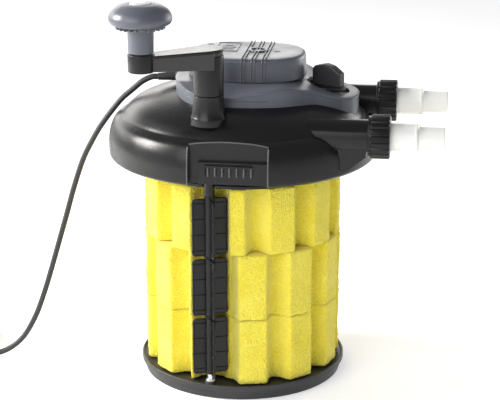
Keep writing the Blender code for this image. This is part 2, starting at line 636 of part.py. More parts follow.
def cord_tube(name, route, spacing):
    curve = bpy.data.curves.new(name, "CURVE")
    curve.dimensions = "3D"
    curve.bevel_depth = CORD_R * MM
    curve.bevel_resolution = 2
    curve.use_fill_caps = True
    points = smooth_route(route, spacing)
    spline = curve.splines.new("POLY")
    spline.points.add(len(points) - 1)
    for point, co in zip(spline.points, points):
        point.co = (*(co * MM), 1.0)
    obj = bpy.data.objects.new(name, curve)
    curve.materials.append(MATERIALS["cord_rubber"])
    bpy.context.scene.collection.objects.link(obj)


def cord():
    relief = [(0, -GLAND_L), (5.0, -GLAND_L), (6.6, -10.0), (8.6, -8.0), (8.6, 0), (0, 0)]
    bm = lathe_mesh(relief, 20, False, axis="X")
    tilt = Matrix.Rotation(math.radians(7), 4, "Z") @ Matrix.Rotation(math.radians(-2.6), 4, "Y")
    bmesh.ops.transform(bm, matrix=Matrix.Translation(GLAND) @ tilt, verts=bm.verts)
    finish("cord_gland", bm, "rubber")
    cord_tube("cord", cord_route(), 24.0)
    ring = tube_profile(COIL_R + COIL_HALF_W, COIL_R - COIL_HALF_W, 0.2, COIL_H)
    lathe("cord_coil", ring, "cord_rubber", 28, True, (COIL_X, COIL_Y))
    plug()


def plug():
    """A round mains plug lying beside the coil, its pins pointing along +Y."""
    x = COIL_X - COIL_R - COIL_HALF_W + CORD_R
    tail = [(x, COIL_Y + 34, 27.8), (x, COIL_Y + 50, 24.6), (x, COIL_Y + 66, 21.0),
            (x, COIL_Y + 78, 19.5), (x, COIL_Y + 88, 19.2)]
    cord_tube("cord_tail", tail, 12.0)
    start = COIL_Y + 88 + GAP
    body = [(0, start + 68), (13.0, start + 68), (PLUG_R, start + 64), (PLUG_R, start + 44),
            (14.0, start + 30), (7.0, start + 22), (5.2, start), (0, start)]
    lathe("plug_body", body, "cord_rubber", 20, center=(x, PLUG_R + 0.2), axis="Y")
    for side, dx in (("left", -9.5), ("right", 9.5)):
        pin = [(0, start + 87), (1.6, start + 87), (2.4, start + 85), (2.4, start + 68 + GAP),
               (0, start + 68 + GAP)]
        lathe("plug_pin_" + side, pin, "steel", 12, center=(x + dx, PLUG_R + 0.2), axis="Y")


def main():
    clear_scene()
    make_materials()
    base_tray()
    core_tube()
    top_plate()
    foams()
    lid()
    lid_seal()
    union_fittings()
    lamp_base()
    lamp_cover()
    cover_fittings()
    lamp_parts()
    selector()
    shaft_boss()
    crank()
    cord()


main()
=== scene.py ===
"""Looks of the pond filter insert: moulded head, foam cartridge, crank, ports and mains lead."""
import json
import math

import bmesh
import bpy
from mathutils import Matrix, Vector, noise


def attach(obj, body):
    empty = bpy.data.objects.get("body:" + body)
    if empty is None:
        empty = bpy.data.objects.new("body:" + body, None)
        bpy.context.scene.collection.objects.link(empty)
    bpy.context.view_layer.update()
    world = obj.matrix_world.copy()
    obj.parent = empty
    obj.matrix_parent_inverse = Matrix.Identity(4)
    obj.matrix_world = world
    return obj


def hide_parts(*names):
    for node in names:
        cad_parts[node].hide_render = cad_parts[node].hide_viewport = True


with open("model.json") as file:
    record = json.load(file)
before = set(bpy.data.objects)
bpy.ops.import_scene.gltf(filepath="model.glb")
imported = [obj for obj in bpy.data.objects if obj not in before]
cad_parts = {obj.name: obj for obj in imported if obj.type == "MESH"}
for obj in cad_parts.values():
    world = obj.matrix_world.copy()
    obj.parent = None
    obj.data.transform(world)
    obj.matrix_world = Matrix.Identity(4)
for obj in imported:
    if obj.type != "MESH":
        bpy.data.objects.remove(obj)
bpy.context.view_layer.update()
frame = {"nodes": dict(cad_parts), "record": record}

MM = 0.001
ROOT = "head_and_cartridge"

# Camera
CAMERA_AT, CAMERA_TARGET, CAMERA_LENS = (321.8, -2531.0, 1042.7), (10.8, 1.3, 257.8), 129.6

# Driving dimensions in millimetres, as in the CAD source
TRAY_R, TRAY_LIP_R, TRAY_LIP_Z, TRAY_FLOOR_Z = 146.2, 152.0, 23.0, 20.0
FOAM_TIP_R, FOAM_GROOVE_R, FOAM_BORE_R = 144.6, 123.5, 51.5
FOAM_H, FOAM_Z0, FOAM_LOBES, FOAM_TIP_HALF = 98.0, 22.5, 12, 8.4
POCKET_R = 27.4
FOAM_PHASE = {"foam_lower": -76.5, "foam_middle": -77.0, "foam_upper": -89.5}
LID_BOTTOM = 332.0
RIM_SPACE_R = 188.5
SHAFT = (-29.5, -138.8)
HUB_R, HUB_Z0, HUB_TOP = 21.1, 452.0, 508.0
PADDLE_Z0, PADDLE_H, PADDLE_PITCH, VANE_R = 38.0, 84.6, 89.5, 25.6
CRANK_HEADING, CRANK_L = 201.5, 94.0
KNOB_Z0 = 515.0
PORT_Y, PORT_Z, PORT_R, PORT_BORE_R = 106.0, 390.0, 23.5, 18.0
NUT_X0, NUT_X1 = 190.5, 221.0
TAIL_STEP_X, TAIL_END_X, TAIL_R, TAIL_SMALL_R, TAIL_BORE_R = 258.8, 296.8, 20.0, 16.0, 13.0
COVER_X, COVER_A, COVER_B, COVER_Z0, COVER_TOP = 8.0, 85.0, 67.0, 452.3, 484.5
COVER_POWER = 2.5
COVER_SCREWS = ((-50.5, 35.0), (51.5, -5.0))
LENS = (23.0, 1.0)
COLLAR_Z, COLLAR_FALL, COLLAR_FALL_X, COLLAR_FALL_SPAN = 451.8, 25.0, 60.0, 109.0
DIAL_X, DIAL_R = 125.0, 26.0
GLAND, GLAND_L = (-95.8, 18.6, 440.0), 30.0
CORD_R = 4.25
COIL_X, COIL_Y = -472.0, 33.0
PLUG_R = 19.0

LID_PROFILE = [(0, 437.4), (27, 436.8), (50, 435.6), (90, 431.0), (120, 425.0), (145, 416.5),
               (160, 408.5), (170, 399.6), (175.2, 393.6), (180, 391.2), (185.6, 387.0),
               (190, 380.0), (193.5, 370.0), (195.5, 357.0), (195.5, 340.0), (194, 335.0),
               (190, 332.0)]
LID_INSIDE = [(186, 332), (186, 352), (157, 352), (157, 357), (186, 357), (186, 366), (176, 376),
              (165, 385), (145, 404), (95, 422), (0, 430)]


# ---------------------------------------------------------------- materials

def nodes_of(name):
    """A new node material with its tree and its shader."""
    mat = bpy.data.materials.new(name)
    mat.use_nodes = True
    tree = mat.node_tree
    return mat, tree, tree.nodes["Principled BSDF"]


def add(tree, kind, **values):
    node = tree.nodes.new(kind)
    for key, value in values.items():
        setattr(node, key, value)
    return node


def noise_node(tree, coords, scale, detail=3.0, roughness=0.55):
    node = add(tree, "ShaderNodeTexNoise")
    node.inputs["Scale"].default_value = scale
    node.inputs["Detail"].default_value = detail
    node.inputs["Roughness"].default_value = roughness
    tree.links.new(coords, node.inputs["Vector"])
    return node.outputs["Fac"]


def mapped(tree, value, low, high, out_low, out_high):
    node = add(tree, "ShaderNodeMapRange")
    for key, number in zip(("From Min", "From Max", "To Min", "To Max"),
                           (low, high, out_low, out_high)):
        node.inputs[key].default_value = number
    tree.links.new(value, node.inputs["Value"])
    return node.outputs["Result"]


def blend_color(tree, factor, first, second):
    node = add(tree, "ShaderNodeMix", data_type="RGBA")
    tree.links.new(factor, node.inputs["Factor"])
    for key, value in (("A", first), ("B", second)):
        socket = next(s for s in node.inputs if s.name == key and s.type == "RGBA")
        if isinstance(value, tuple):
            socket.default_value = (*value, 1.0)
        else:
            tree.links.new(value, socket)
    return next(s for s in node.outputs if s.type == "RGBA")


def plastic(name, color, rough, grain=0.12, wear_and_glint=0.35, edge=0.9, spread=0.07,
            grain_scale=900.0, specular=0.5):
    """Moulded plastic: fine texture, uneven sheen, faint scuffs, and paler edges that are partly
    wear and partly painted highlight.
    """
    mat, tree, shader = nodes_of(name)
    link = tree.links.new
    coords = add(tree, "ShaderNodeTexCoord").outputs["Object"]
    slow = noise_node(tree, coords, 16.0, 4.0)
    fine = noise_node(tree, coords, grain_scale, 2.0)
    streak = add(tree, "ShaderNodeMapping")
    streak.inputs["Scale"].default_value = (30.0, 30.0, 160.0)
    link(coords, streak.inputs["Vector"])
    scuff = mapped(tree, noise_node(tree, streak.outputs["Vector"], 1.0, 6.0, 0.7), 0.60, 0.78,
                   0.0, 0.35)
    round_edge = add(tree, "ShaderNodeBevel", samples=6)
    round_edge.inputs["Radius"].default_value = edge * MM
    geometry = add(tree, "ShaderNodeNewGeometry")
    flatness = add(tree, "ShaderNodeVectorMath", operation="DOT_PRODUCT")
    link(round_edge.outputs["Normal"], flatness.inputs[0])
    link(geometry.outputs["Normal"], flatness.inputs[1])
    # Paler edges from the bevel normal: partly wear, partly painted highlight where edges catch the
    # light.
    wear_and_glint_mask = mapped(tree, flatness.outputs["Value"], 0.995, 0.90, 0.0, wear_and_glint)
    body = blend_color(tree, slow, tuple(c * 0.86 for c in color), tuple(c * 1.14 for c in color))
    scuffed = blend_color(tree, scuff, body, tuple(min(1.0, c * 1.5 + 0.003) for c in color))
    wear_and_glint_edged = blend_color(tree, wear_and_glint_mask, scuffed, tuple(min(1.0, c * 1.8 + 0.022) for c in color))
    link(wear_and_glint_edged, shader.inputs["Base Color"])
    rough_slow = mapped(tree, slow, 0.3, 0.7, rough - spread, rough + spread)
    rough_sum = add(tree, "ShaderNodeMath", operation="MULTIPLY_ADD")
    link(scuff, rough_sum.inputs[0])
    rough_sum.inputs[1].default_value = 0.35
    link(rough_slow, rough_sum.inputs[2])
    link(rough_sum.outputs["Value"], shader.inputs["Roughness"])
    bump = add(tree, "ShaderNodeBump")
    bump.inputs["Strength"].default_value = grain
    bump.inputs["Distance"].default_value = 0.25 * MM
    link(fine, bump.inputs["Height"])
    link(round_edge.outputs["Normal"], bump.inputs["Normal"])
    link(bump.outputs["Normal"], shader.inputs["Normal"])
    shader.inputs["Specular IOR Level"].default_value = specular
    return mat


def hose_plastic(name):
    """Off-white natural polymer that lets a little light in."""
    mat = plastic(name, (0.80, 0.80, 0.765), 0.36, grain=0.06, wear_and_glint=0.1)
    shader = mat.node_tree.nodes["Principled BSDF"]
    shader.inputs["Subsurface Weight"].default_value = 0.15
    shader.inputs["Subsurface Radius"].default_value = (0.006, 0.006, 0.005)
    shader.inputs["Subsurface Scale"].default_value = 1.0
    return mat


def foam_material(name):
    """Open-cell foam: bright skeleton, pores darkened with painted shade, soft rough surface."""
    mat, tree, shader = nodes_of(name)
    link = tree.links.new
    coords = add(tree, "ShaderNodeTexCoord").outputs["Object"]
    cells = add(tree, "ShaderNodeTexVoronoi", feature="F1")
    cells.inputs["Scale"].default_value = 430.0
    link(coords, cells.inputs["Vector"])
    fine = noise_node(tree, coords, 700.0, 3.0, 0.7)
    slow = noise_node(tree, coords, 22.0, 4.0, 0.6)
    pore = mapped(tree, cells.outputs["Distance"], 0.10, 0.62, 1.0, 0.0)
    speck = mapped(tree, fine, 0.42, 0.62, 0.0, 1.0)
    holes = add(tree, "ShaderNodeMath", operation="MULTIPLY")
    link(pore, holes.inputs[0])
    link(speck, holes.inputs[1])
    # Pores darkened towards a deeper yellow: painted shade inside the cells.
    pore_shade_share = mapped(tree, holes.outputs["Value"], 0.0, 1.0, 0.0, 0.80)
    body = blend_color(tree, mapped(tree, slow, 0.3, 0.7, 0.0, 1.0), (0.84, 0.71, 0.052),
                       (0.87, 0.77, 0.105))
    link(blend_color(tree, pore_shade_share, body, (0.62, 0.46, 0.018)), shader.inputs["Base Color"])
    height = add(tree, "ShaderNodeMath", operation="SUBTRACT")
    link(fine, height.inputs[0])
    link(pore, height.inputs[1])
    bump = add(tree, "ShaderNodeBump")
    bump.inputs["Strength"].default_value = 0.85
    bump.inputs["Distance"].default_value = 1.1 * MM
    link(height.outputs["Value"], bump.inputs["Height"])
    link(bump.outputs["Normal"], shader.inputs["Normal"])
    link(mapped(tree, fine, 0.2, 0.8, 0.88, 1.0), shader.inputs["Roughness"])
    shader.inputs["Specular IOR Level"].default_value = 0.15
    shader.inputs["Sheen Weight"].default_value = 0.4
    shader.inputs["Sheen Roughness"].default_value = 0.5
    shader.inputs["Sheen Tint"].default_value = (1.0, 0.97, 0.72, 1.0)
    shader.inputs["Subsurface Weight"].default_value = 0.25
    shader.inputs["Subsurface Radius"].default_value = (0.010, 0.008, 0.002)
    shader.inputs["Subsurface Scale"].default_value = 1.0
    return mat


def metal(name, color, rough):
    """Brushed metal with fine lines across its height."""
    mat, tree, shader = nodes_of(name)
    coords = add(tree, "ShaderNodeTexCoord").outputs["Object"]
    lines = add(tree, "ShaderNodeMapping")
    lines.inputs["Scale"].default_value = (1.0, 1.0, 40.0)
    tree.links.new(coords, lines.inputs["Vector"])
    brushed = noise_node(tree, lines.outputs["Vector"], 60.0, 4.0, 0.7)
    tree.links.new(blend_color(tree, brushed, tuple(c * 0.85 for c in color), color),
                   shader.inputs["Base Color"])
    tree.links.new(mapped(tree, brushed, 0.3, 0.7, rough - 0.06, rough + 0.08),
                   shader.inputs["Roughness"])
    shader.inputs["Metallic"].default_value = 1.0
    return mat


def clear(name, color, rough, transmission):
    """Glass-like material with a faintly uneven sheen."""
    mat, tree, shader = nodes_of(name)
    coords = add(tree, "ShaderNodeTexCoord").outputs["Object"]
    slow = noise_node(tree, coords, 60.0, 3.0)
    tree.links.new(mapped(tree, slow, 0.3, 0.7, rough, rough + 0.08), shader.inputs["Roughness"])
    shader.inputs["Base Color"].default_value = (*color, 1.0)
    shader.inputs["Transmission Weight"].default_value = transmission
    return mat


def make_materials():
    return {
        "black_plastic": plastic("black_plastic", (0.006, 0.006, 0.0063), 0.29, specular=0.32),
        "grip_plastic": plastic("grip_plastic", (0.006, 0.006, 0.0065), 0.32, wear_and_glint=0.5,
                                specular=0.28),
        # Lighter copy of the black plastic: painted sheen, used on the crank's web, the selector
        # blade and the tray.
        "painted_sheen_plastic": plastic("painted_sheen_plastic", (0.028, 0.028, 0.030), 0.44, specular=0.42),
        # Paler copy of the black plastic: painted highlight on the recess teeth and bead.
        "painted_highlight_plastic": plastic("painted_highlight_plastic", (0.070, 0.070, 0.070), 0.40, wear_and_glint=0.8),
        "grey_plastic": plastic("grey_plastic", (0.086, 0.092, 0.114), 0.36, grain=0.22,
                                wear_and_glint=0.45, grain_scale=1100.0),
        "light_grey_plastic": plastic("light_grey_plastic", (0.50, 0.52, 0.55), 0.36),
        "white_plastic": hose_plastic("white_plastic"),
        "foam": foam_material("foam"),
        "rubber": plastic("rubber", (0.016, 0.016, 0.016), 0.68, grain=0.3, wear_and_glint=0.2),
        "dark_steel": metal("dark_steel", (0.05, 0.05, 0.052), 0.4),
        "steel": metal("steel", (0.66, 0.66, 0.65), 0.26),
        "quartz": clear("quartz", (0.90, 0.95, 0.97), 0.03, 0.9),
        "lamp_glass": clear("lamp_glass", (0.92, 0.94, 0.96), 0.08, 0.4),
        "lens": clear("lens", (0.40, 0.46, 0.58), 0.08, 0.3),
        "cord_rubber": plastic("cord_rubber", (0.020, 0.021, 0.023), 0.47, grain=0.2, wear_and_glint=0.1),
    }


MATS = make_materials()


# ---------------------------------------------------------------- mesh helpers

def polar(radius, degrees):
    angle = math.radians(degrees)
    return radius * math.cos(angle), radius * math.sin(angle)


def finish_mesh(name, bm, mat=None, sharp=35.0):
    """Turn a bmesh in world millimetres into a smooth-shaded object in metres."""
    bmesh.ops.recalc_face_normals(bm, faces=bm.faces)
    bmesh.ops.transform(bm, matrix=Matrix.Scale(MM, 4), verts=bm.verts)
    mesh = bpy.data.meshes.new(name)
    bm.to_mesh(mesh)
    bm.free()
    mesh.shade_smooth()
    mesh.set_sharp_from_angle(angle=math.radians(sharp))
    obj = bpy.data.objects.new(name, mesh)
    bpy.context.scene.collection.objects.link(obj)
    if mat:
        mesh.materials.append(MATS[mat])
    return obj


def bevelled(obj, width, segments=2, angle=35.0):
    mod = obj.modifiers.new("Rounded edges", "BEVEL")
    mod.width = width * MM
    mod.segments = segments
    mod.limit_method = "ANGLE"
    mod.angle_limit = math.radians(angle)
    mod.use_clamp_overlap = True
    return obj


def apply_all(obj, sharp=35.0):
    """Bake the modifiers into the mesh."""
    bpy.context.view_layer.update()
    evaluated = obj.evaluated_get(bpy.context.evaluated_depsgraph_get())
    mesh = bpy.data.meshes.new_from_object(evaluated)
    obj.modifiers.clear()
    old = obj.data
    obj.data = mesh
    bpy.data.meshes.remove(old)
    mesh.shade_smooth()
    mesh.set_sharp_from_angle(angle=math.radians(sharp))
    return obj


def combine(obj, tools, operation="DIFFERENCE"):
    for tool in tools:
        mod = obj.modifiers.new("Cut", "BOOLEAN")
        mod.operation = operation
        mod.solver = "EXACT"
        mod.object = tool
    apply_all(obj)
    for tool in tools:
        bpy.data.objects.remove(tool, do_unlink=True)
    return obj


def place(obj, body, replaces=()):
    """Ride a body, and hide the CAD nodes that the piece replaces."""
    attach(obj, body)
    if replaces:
        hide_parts(*([replaces] if isinstance(replaces, str) else replaces))
    return obj


def rounded(points, closed=False, steps=5):
    """A polyline through (u, v) or (u, v, radius) points, each radius turned into an arc."""
    out = []
    count = len(points)
    for i, point in enumerate(points):
        radius = point[2] if len(point) == 3 else 0.0
        here = Vector(point[:2])
        if radius <= 0 or (not closed and i in (0, count - 1)):
            out.append((here.x, here.y))
            continue
        back = Vector(points[i - 1][:2]) - here
        ahead = Vector(points[(i + 1) % count][:2]) - here
        half = back.angle(ahead) / 2
        reach = min(radius / math.tan(half), 0.48 * back.length, 0.48 * ahead.length)
        r = reach * math.tan(half)
        centre = here + (back.normalized() + ahead.normalized()).normalized() * (r / math.sin(half))
        first = here + back.normalized() * reach - centre
        last = here + ahead.normalized() * reach - centre
        start = math.atan2(first.y, first.x)
        sweep = (math.atan2(last.y, last.x) - start + math.pi) % math.tau - math.pi
        for k in range(steps + 1):
            turn = start + sweep * k / steps
            out.append((centre.x + r * math.cos(turn), centre.y + r * math.sin(turn)))
    return out


def smooth(points, per_span=6, closed=False):
    """Points on a Catmull-Rom curve through 2-D or 3-D points."""
    count = len(points)
    spans = count if closed else count - 1
    out = []
    for i in range(spans):
        picks = [(i + k) % count if closed else min(max(i + k, 0), count - 1)
                 for k in (-1, 0, 1, 2)]
        p0, p1, p2, p3 = (Vector(points[k]) for k in picks)
        for step in range(per_span):
            t = step / per_span
            out.append(tuple(0.5 * ((2 * p1) + (p2 - p0) * t
                                    + (2 * p0 - 5 * p1 + 4 * p2 - p3) * t * t
                                    + (3 * p1 - p0 - 3 * p2 + p3) * t ** 3)))
    if not closed:
        out.append(tuple(points[-1]))
    return out


def bridge(bm, rings, closed=False):
    """Faces between rings of equal length, with the last joined to the first if closed."""
    for first, second in zip(rings, rings[1:] + (rings[:1] if closed else [])):
        for k in range(len(first)):
            n = (k + 1) % len(first)
            bm.faces.new((first[k], first[n], second[n], second[k]))


def turned(name, profile, mat, steps=96, closed=False, center=(0.0, 0.0), axis="Z", sharp=35.0):
    """Turn (radius, height) points about a vertical axis, or about X or Y."""
    bm = bmesh.new()
    rings = []
    for radius, height in profile:
        if radius < 1e-6:
            rings.append([bm.verts.new((0, 0, height))])
            continue
        rings.append([bm.verts.new((*polar(radius, 360.0 * k / steps), height))
                      for k in range(steps)])
    pairs = list(zip(rings, rings[1:])) + ([(rings[-1], rings[0])] if closed else [])
    for first, second in pairs:
        for k in range(steps):
            n = (k + 1) % steps
            if len(first) == 1 and len(second) == 1:
                break
            if len(first) == 1:
                bm.faces.new((first[0], second[k], second[n]))
            elif len(second) == 1:
                bm.faces.new((first[k], first[n], second[0]))
            else:
                bm.faces.new((first[k], first[n], second[n], second[k]))
    if axis == "X":
        spin, shift = Matrix.Rotation(math.radians(90), 4, "Y"), (0.0, center[0], center[1])
    elif axis == "Y":
        spin, shift = Matrix.Rotation(math.radians(-90), 4, "X"), (center[0], 0.0, center[1])
    else:
        spin, shift = Matrix.Identity(4), (center[0], center[1], 0.0)
    bmesh.ops.transform(bm, matrix=Matrix.Translation(shift) @ spin, verts=bm.verts)
    return finish_mesh(name, bm, mat, sharp)


def rod(name, radius, low, high, mat=None, center=(0.0, 0.0), axis="Z", steps=64):
    return turned(name, [(0, high), (radius, high), (radius, low), (0, low)], mat, steps,
                  center=center, axis=axis)


def swept(name, paths, radius, mat, resolution=4, smooth_shading=False):
    """A round section of `radius` along each path of millimetre points, with closed ends."""
    curve = bpy.data.curves.new(name, "CURVE")
    curve.dimensions = "3D"
    curve.bevel_depth = radius * MM
    curve.bevel_resolution = resolution
    curve.use_fill_caps = True
    for path in paths:
        spline = curve.splines.new("POLY")
        spline.points.add(len(path) - 1)
        for point, co in zip(spline.points, path):
            point.co = (*(Vector(co) * MM), 1.0)
        if smooth_shading:
            spline.use_smooth = True
    curve.materials.append(MATS[mat])
    obj = bpy.data.objects.new(name, curve)
    bpy.context.scene.collection.objects.link(obj)
    return obj


def add_prism(bm, outline, low, high, matrix=None):
    """Extrude a plan outline, with `matrix` placing the result."""
    bottom = [bm.verts.new((x, y, low)) for x, y in outline]
    top = [bm.verts.new((x, y, high)) for x, y in outline]
    bm.faces.new(bottom)
    bm.faces.new(top)
    for k in range(len(outline)):
        n = (k + 1) % len(outline)
        bm.faces.new((bottom[k], bottom[n], top[n], top[k]))
    if matrix:
        bmesh.ops.transform(bm, matrix=matrix, verts=bottom + top)


def add_box(bm, low, high, matrix=None):
    outline = [(low[0], low[1]), (high[0], low[1]), (high[0], high[1]), (low[0], high[1])]
    add_prism(bm, outline, low[2], high[2], matrix)


def box(name, low, high, mat=None, matrix=None):
    bm = bmesh.new()
    add_box(bm, low, high, matrix)
    return finish_mesh(name, bm, mat)


# Stands an outline drawn in XY up in XZ, so that it is extruded along Y
UPRIGHT = Matrix(((1, 0, 0, 0), (0, 0, 1, 0), (0, 1, 0, 0), (0, 0, 0, 1)))


def dome_z(radius):
    """Height of the lid's outer surface at a radius."""
    for (r0, z0), (r1, z1) in zip(LID_CURVE, LID_CURVE[1:]):
        if r0 <= radius <= r1:
            return z0 + (z1 - z0) * (radius - r0) / max(r1 - r0, 1e-6)
    return LID_BOTTOM


LID_CURVE = smooth(LID_PROFILE, 5)


# ---------------------------------------------------------------- camera, light and floor

def look_at(obj, place_at, target):
    obj.location = Vector(place_at) * MM
    aim = (Vector(target) - Vector(place_at)).to_track_quat("-Z", "Y")
    obj.rotation_mode = "QUATERNION"
    obj.rotation_quaternion = aim


def camera():
    data = bpy.data.cameras.new("camera")
    data.lens = CAMERA_LENS
    data.sensor_width = 36.0
    data.clip_end = 100.0
    obj = bpy.data.objects.new("camera", data)
    bpy.context.scene.collection.objects.link(obj)
    look_at(obj, CAMERA_AT, CAMERA_TARGET)
    bpy.context.scene.camera = obj


def area_light(name, at, target, size, power, color=(1, 1, 1)):
    data = bpy.data.lights.new(name, "AREA")
    data.shape = "RECTANGLE"
    data.size, data.size_y = size
    data.energy = power
    data.color = color
    obj = bpy.data.objects.new(name, data)
    bpy.context.scene.collection.objects.link(obj)
    look_at(obj, at, target)


def studio():
    """Pale surround, dim overhead, with a bright panel low behind the left side."""
    world = bpy.data.worlds.new("studio")
    bpy.context.scene.world = world
    world.use_nodes = True
    tree = world.node_tree
    link = tree.links.new
    back = tree.nodes["Background"]
    parts = add(tree, "ShaderNodeSeparateXYZ")
    link(add(tree, "ShaderNodeTexCoord").outputs["Generated"], parts.inputs["Vector"])
    panel = mapped(tree, parts.outputs["X"], 0.16, -0.06, 0.0, 1.0)
    for axis, low, high in (("Z", 0.46, 0.31), ("Y", 0.15, 0.50)):
        both = add(tree, "ShaderNodeMath", operation="MULTIPLY")
        link(panel, both.inputs[0])
        link(mapped(tree, parts.outputs[axis], low, high, 0.0, 1.0), both.inputs[1])
        panel = both.outputs["Value"]
    horizon = mapped(tree, parts.outputs["Z"], 0.10, 0.03, 0.0, 1.0)
    level = blend_color(tree, panel, (0.085, 0.085, 0.088), (1.0, 0.985, 0.95))
    link(blend_color(tree, horizon, level, (0.34, 0.34, 0.34)), back.inputs["Color"])
    back.inputs["Strength"].default_value = 3.7
    area_light("key_light", (-2500, -150, 1500), (0, 0, 350), (1.1, 1.0), 128.0, (1.0, 0.985, 0.95))
    area_light("front_light", (-1100, -2300, 1500), (0, 0, 250), (2.2, 1.8), 46.0)
    area_light("rim_light", (1500, 1500, 700), (0, 0, 380), (1.2, 0.9), 16.0)
    bm = bmesh.new()
    add_box(bm, (-30000, -30000, -40), (30000, 30000, -0.05))
    floor = finish_mesh("floor", bm)
    mat, tree, shader = nodes_of("floor_paper")
    coords = add(tree, "ShaderNodeTexCoord").outputs["Object"]
    tree.links.new(blend_color(tree, noise_node(tree, coords, 3.0), (0.78, 0.78, 0.78),
                               (0.82, 0.82, 0.82)), shader.inputs["Base Color"])
    shader.inputs["Roughness"].default_value = 0.9
    shader.inputs["Emission Color"].default_value = (1.0, 1.0, 1.0, 1.0)
    shader.inputs["Emission Strength"].default_value = 0.42
    floor.data.materials.append(mat)


# ---------------------------------------------------------------- mains lead

CORD_ROUTE = [(-127.0, 14.76, 438.6), (-136.0, 13.74, 438.1), (-150, 12.0, 431.5),
              (-165, 10.0, 419.0), (-180, 8.1, 406.0), (-195, 6.2, 388.0), (-209, 4.6, 369.0),
              (-221, 3.0, 349.5), (-239, 1.0, 314.0), (-254, -1.0, 270.0), (-266, -2.5, 228.0),
              (-278, -4.0, 187.0), (-290, -6.0, 146.0), (-303, -8.0, 104.0), (-318, -11.0, 64.0),
              (-338, -16.0, 30.0), (-364, -22.0, 10.0), (-392, -27.5, 4.6), (-423, -30.0, 4.5)]
COIL_RADII, COIL_LEVELS = (37.25, 45.75, 54.25, 62.75), (4.5, 13.0, 21.5, 30.0)
COIL_END_TURN = 4410.0


def coil_points():
    """Turns wound inwards and outwards by layers; each step to the next place takes 60 degrees."""
    steps = []
    slot_r, level = 3, 0
    for start, move in ((300, "in"), (660, "in"), (1020, "in"), (1320, "up"), (1620, "out"),
                        (1980, "out"), (2340, "out"), (2640, "up"), (2940, "in"), (3300, "in"),
                        (3600, "up"), (3900, "out"), (4260, "out")):
        before = (COIL_RADII[slot_r], COIL_LEVELS[level])
        slot_r += {"in": -1, "out": 1, "up": 0}[move]
        level += 1 if move == "up" else 0
        steps.append((start, before, (COIL_RADII[slot_r], COIL_LEVELS[level])))
    points = []
    turn = 4.0
    while turn < COIL_END_TURN + 0.1:
        radius, height = steps[0][1]
        for start, before, after in steps:
            share = min(max((turn - start) / 60.0, 0.0), 1.0)
            if share > 0:
                ease = share * share * (3 - 2 * share)
                radius = before[0] + (after[0] - before[0]) * ease
                height = before[1] + (after[1] - before[1]) * ease
        x, y = polar(radius, -90.0 - turn)
        points.append((COIL_X + x, COIL_Y + y, height))
        turn += 5.0
    return points


def mains_lead():
    free = smooth(CORD_ROUTE + [(COIL_X, COIL_Y - COIL_RADII[-1], 4.5)], 8)
    x = COIL_X - COIL_RADII[-1]
    tail = [(x, COIL_Y + 12, 29.6), (x, COIL_Y + 34, 27.8), (x, COIL_Y + 50, 24.6),
            (x, COIL_Y + 66, 21.0), (x, COIL_Y + 78, 19.5), (x, COIL_Y + 88.6, 19.2)]
    path = free + coil_points() + smooth(tail, 5)
    obj = swept("mains_lead", [path], CORD_R, "cord_rubber", 5, True)
    place(obj, ROOT, ("cord", "cord_coil", "cord_tail"))
    plug = mains_plug(x)
    gland = cord_gland()


def mains_plug(x):
    """Round earthed plug with grip recesses and two pins."""
    y = COIL_Y + 88.3
    body = rounded([(0, y + 68), (15.0, y + 68, 1.5), (PLUG_R, y + 65, 2), (PLUG_R, y + 45, 4),
                    (14.5, y + 31, 6), (7.6, y + 24, 3), (7.2, y + 20, 1), (6.8, y + 2, 1),
                    (6.0, y, 0.8), (CORD_R + 0.2, y), (CORD_R + 0.2, y + 6), (0, y + 6)])
    shell = turned("plug_shell", body, "cord_rubber", 72, center=(x, PLUG_R + 0.2), axis="Y")
    ribs = [turned(f"plug_rib_cut_{k}", [(8.4, y + 5 + 4 * k), (8.4, y + 6.6 + 4 * k),
                                         (6.0, y + 6.6 + 4 * k), (6.0, y + 5 + 4 * k)],
                   None, 48, True, (x, PLUG_R + 0.2), "Y") for k in range(4)]
    grips = [box(f"plug_grip_{k}", (x + side * 21 - 4.2, y + 47 + 5 * k, 6),
                 (x + side * 21 + 4.2, y + 49 + 5 * k, 32)) for side in (-1, 1) for k in range(4)]
    combine(shell, ribs + grips)
    place(shell, ROOT, "plug_body")
    return [shell, frame["nodes"]["plug_pin_left"], frame["nodes"]["plug_pin_right"]]


def cord_gland():
    """Slim tapered strain relief seated in a short collar."""
    points = [(0, 0), (8.6, 0), (8.6, -3.0, 0.8), (6.6, -5.0, 1.0), (6.2, -12.0, 3.0),
              (5.1, -GLAND_L - 1.2, 0.8), (CORD_R, -GLAND_L - 1.2), (CORD_R, -GLAND_L + 3),
              (0, -GLAND_L + 3)]
    obj = turned("cord_relief", rounded(points, steps=4), "rubber", 48, axis="X")
    tilt = Matrix.Rotation(math.radians(7), 4, "Z") @ Matrix.Rotation(math.radians(-2.6), 4, "Y")
    obj.data.transform(Matrix.Translation(Vector(GLAND) * MM) @ tilt)
    return place(obj, ROOT, "cord_gland")


# ---------------------------------------------------------------- head

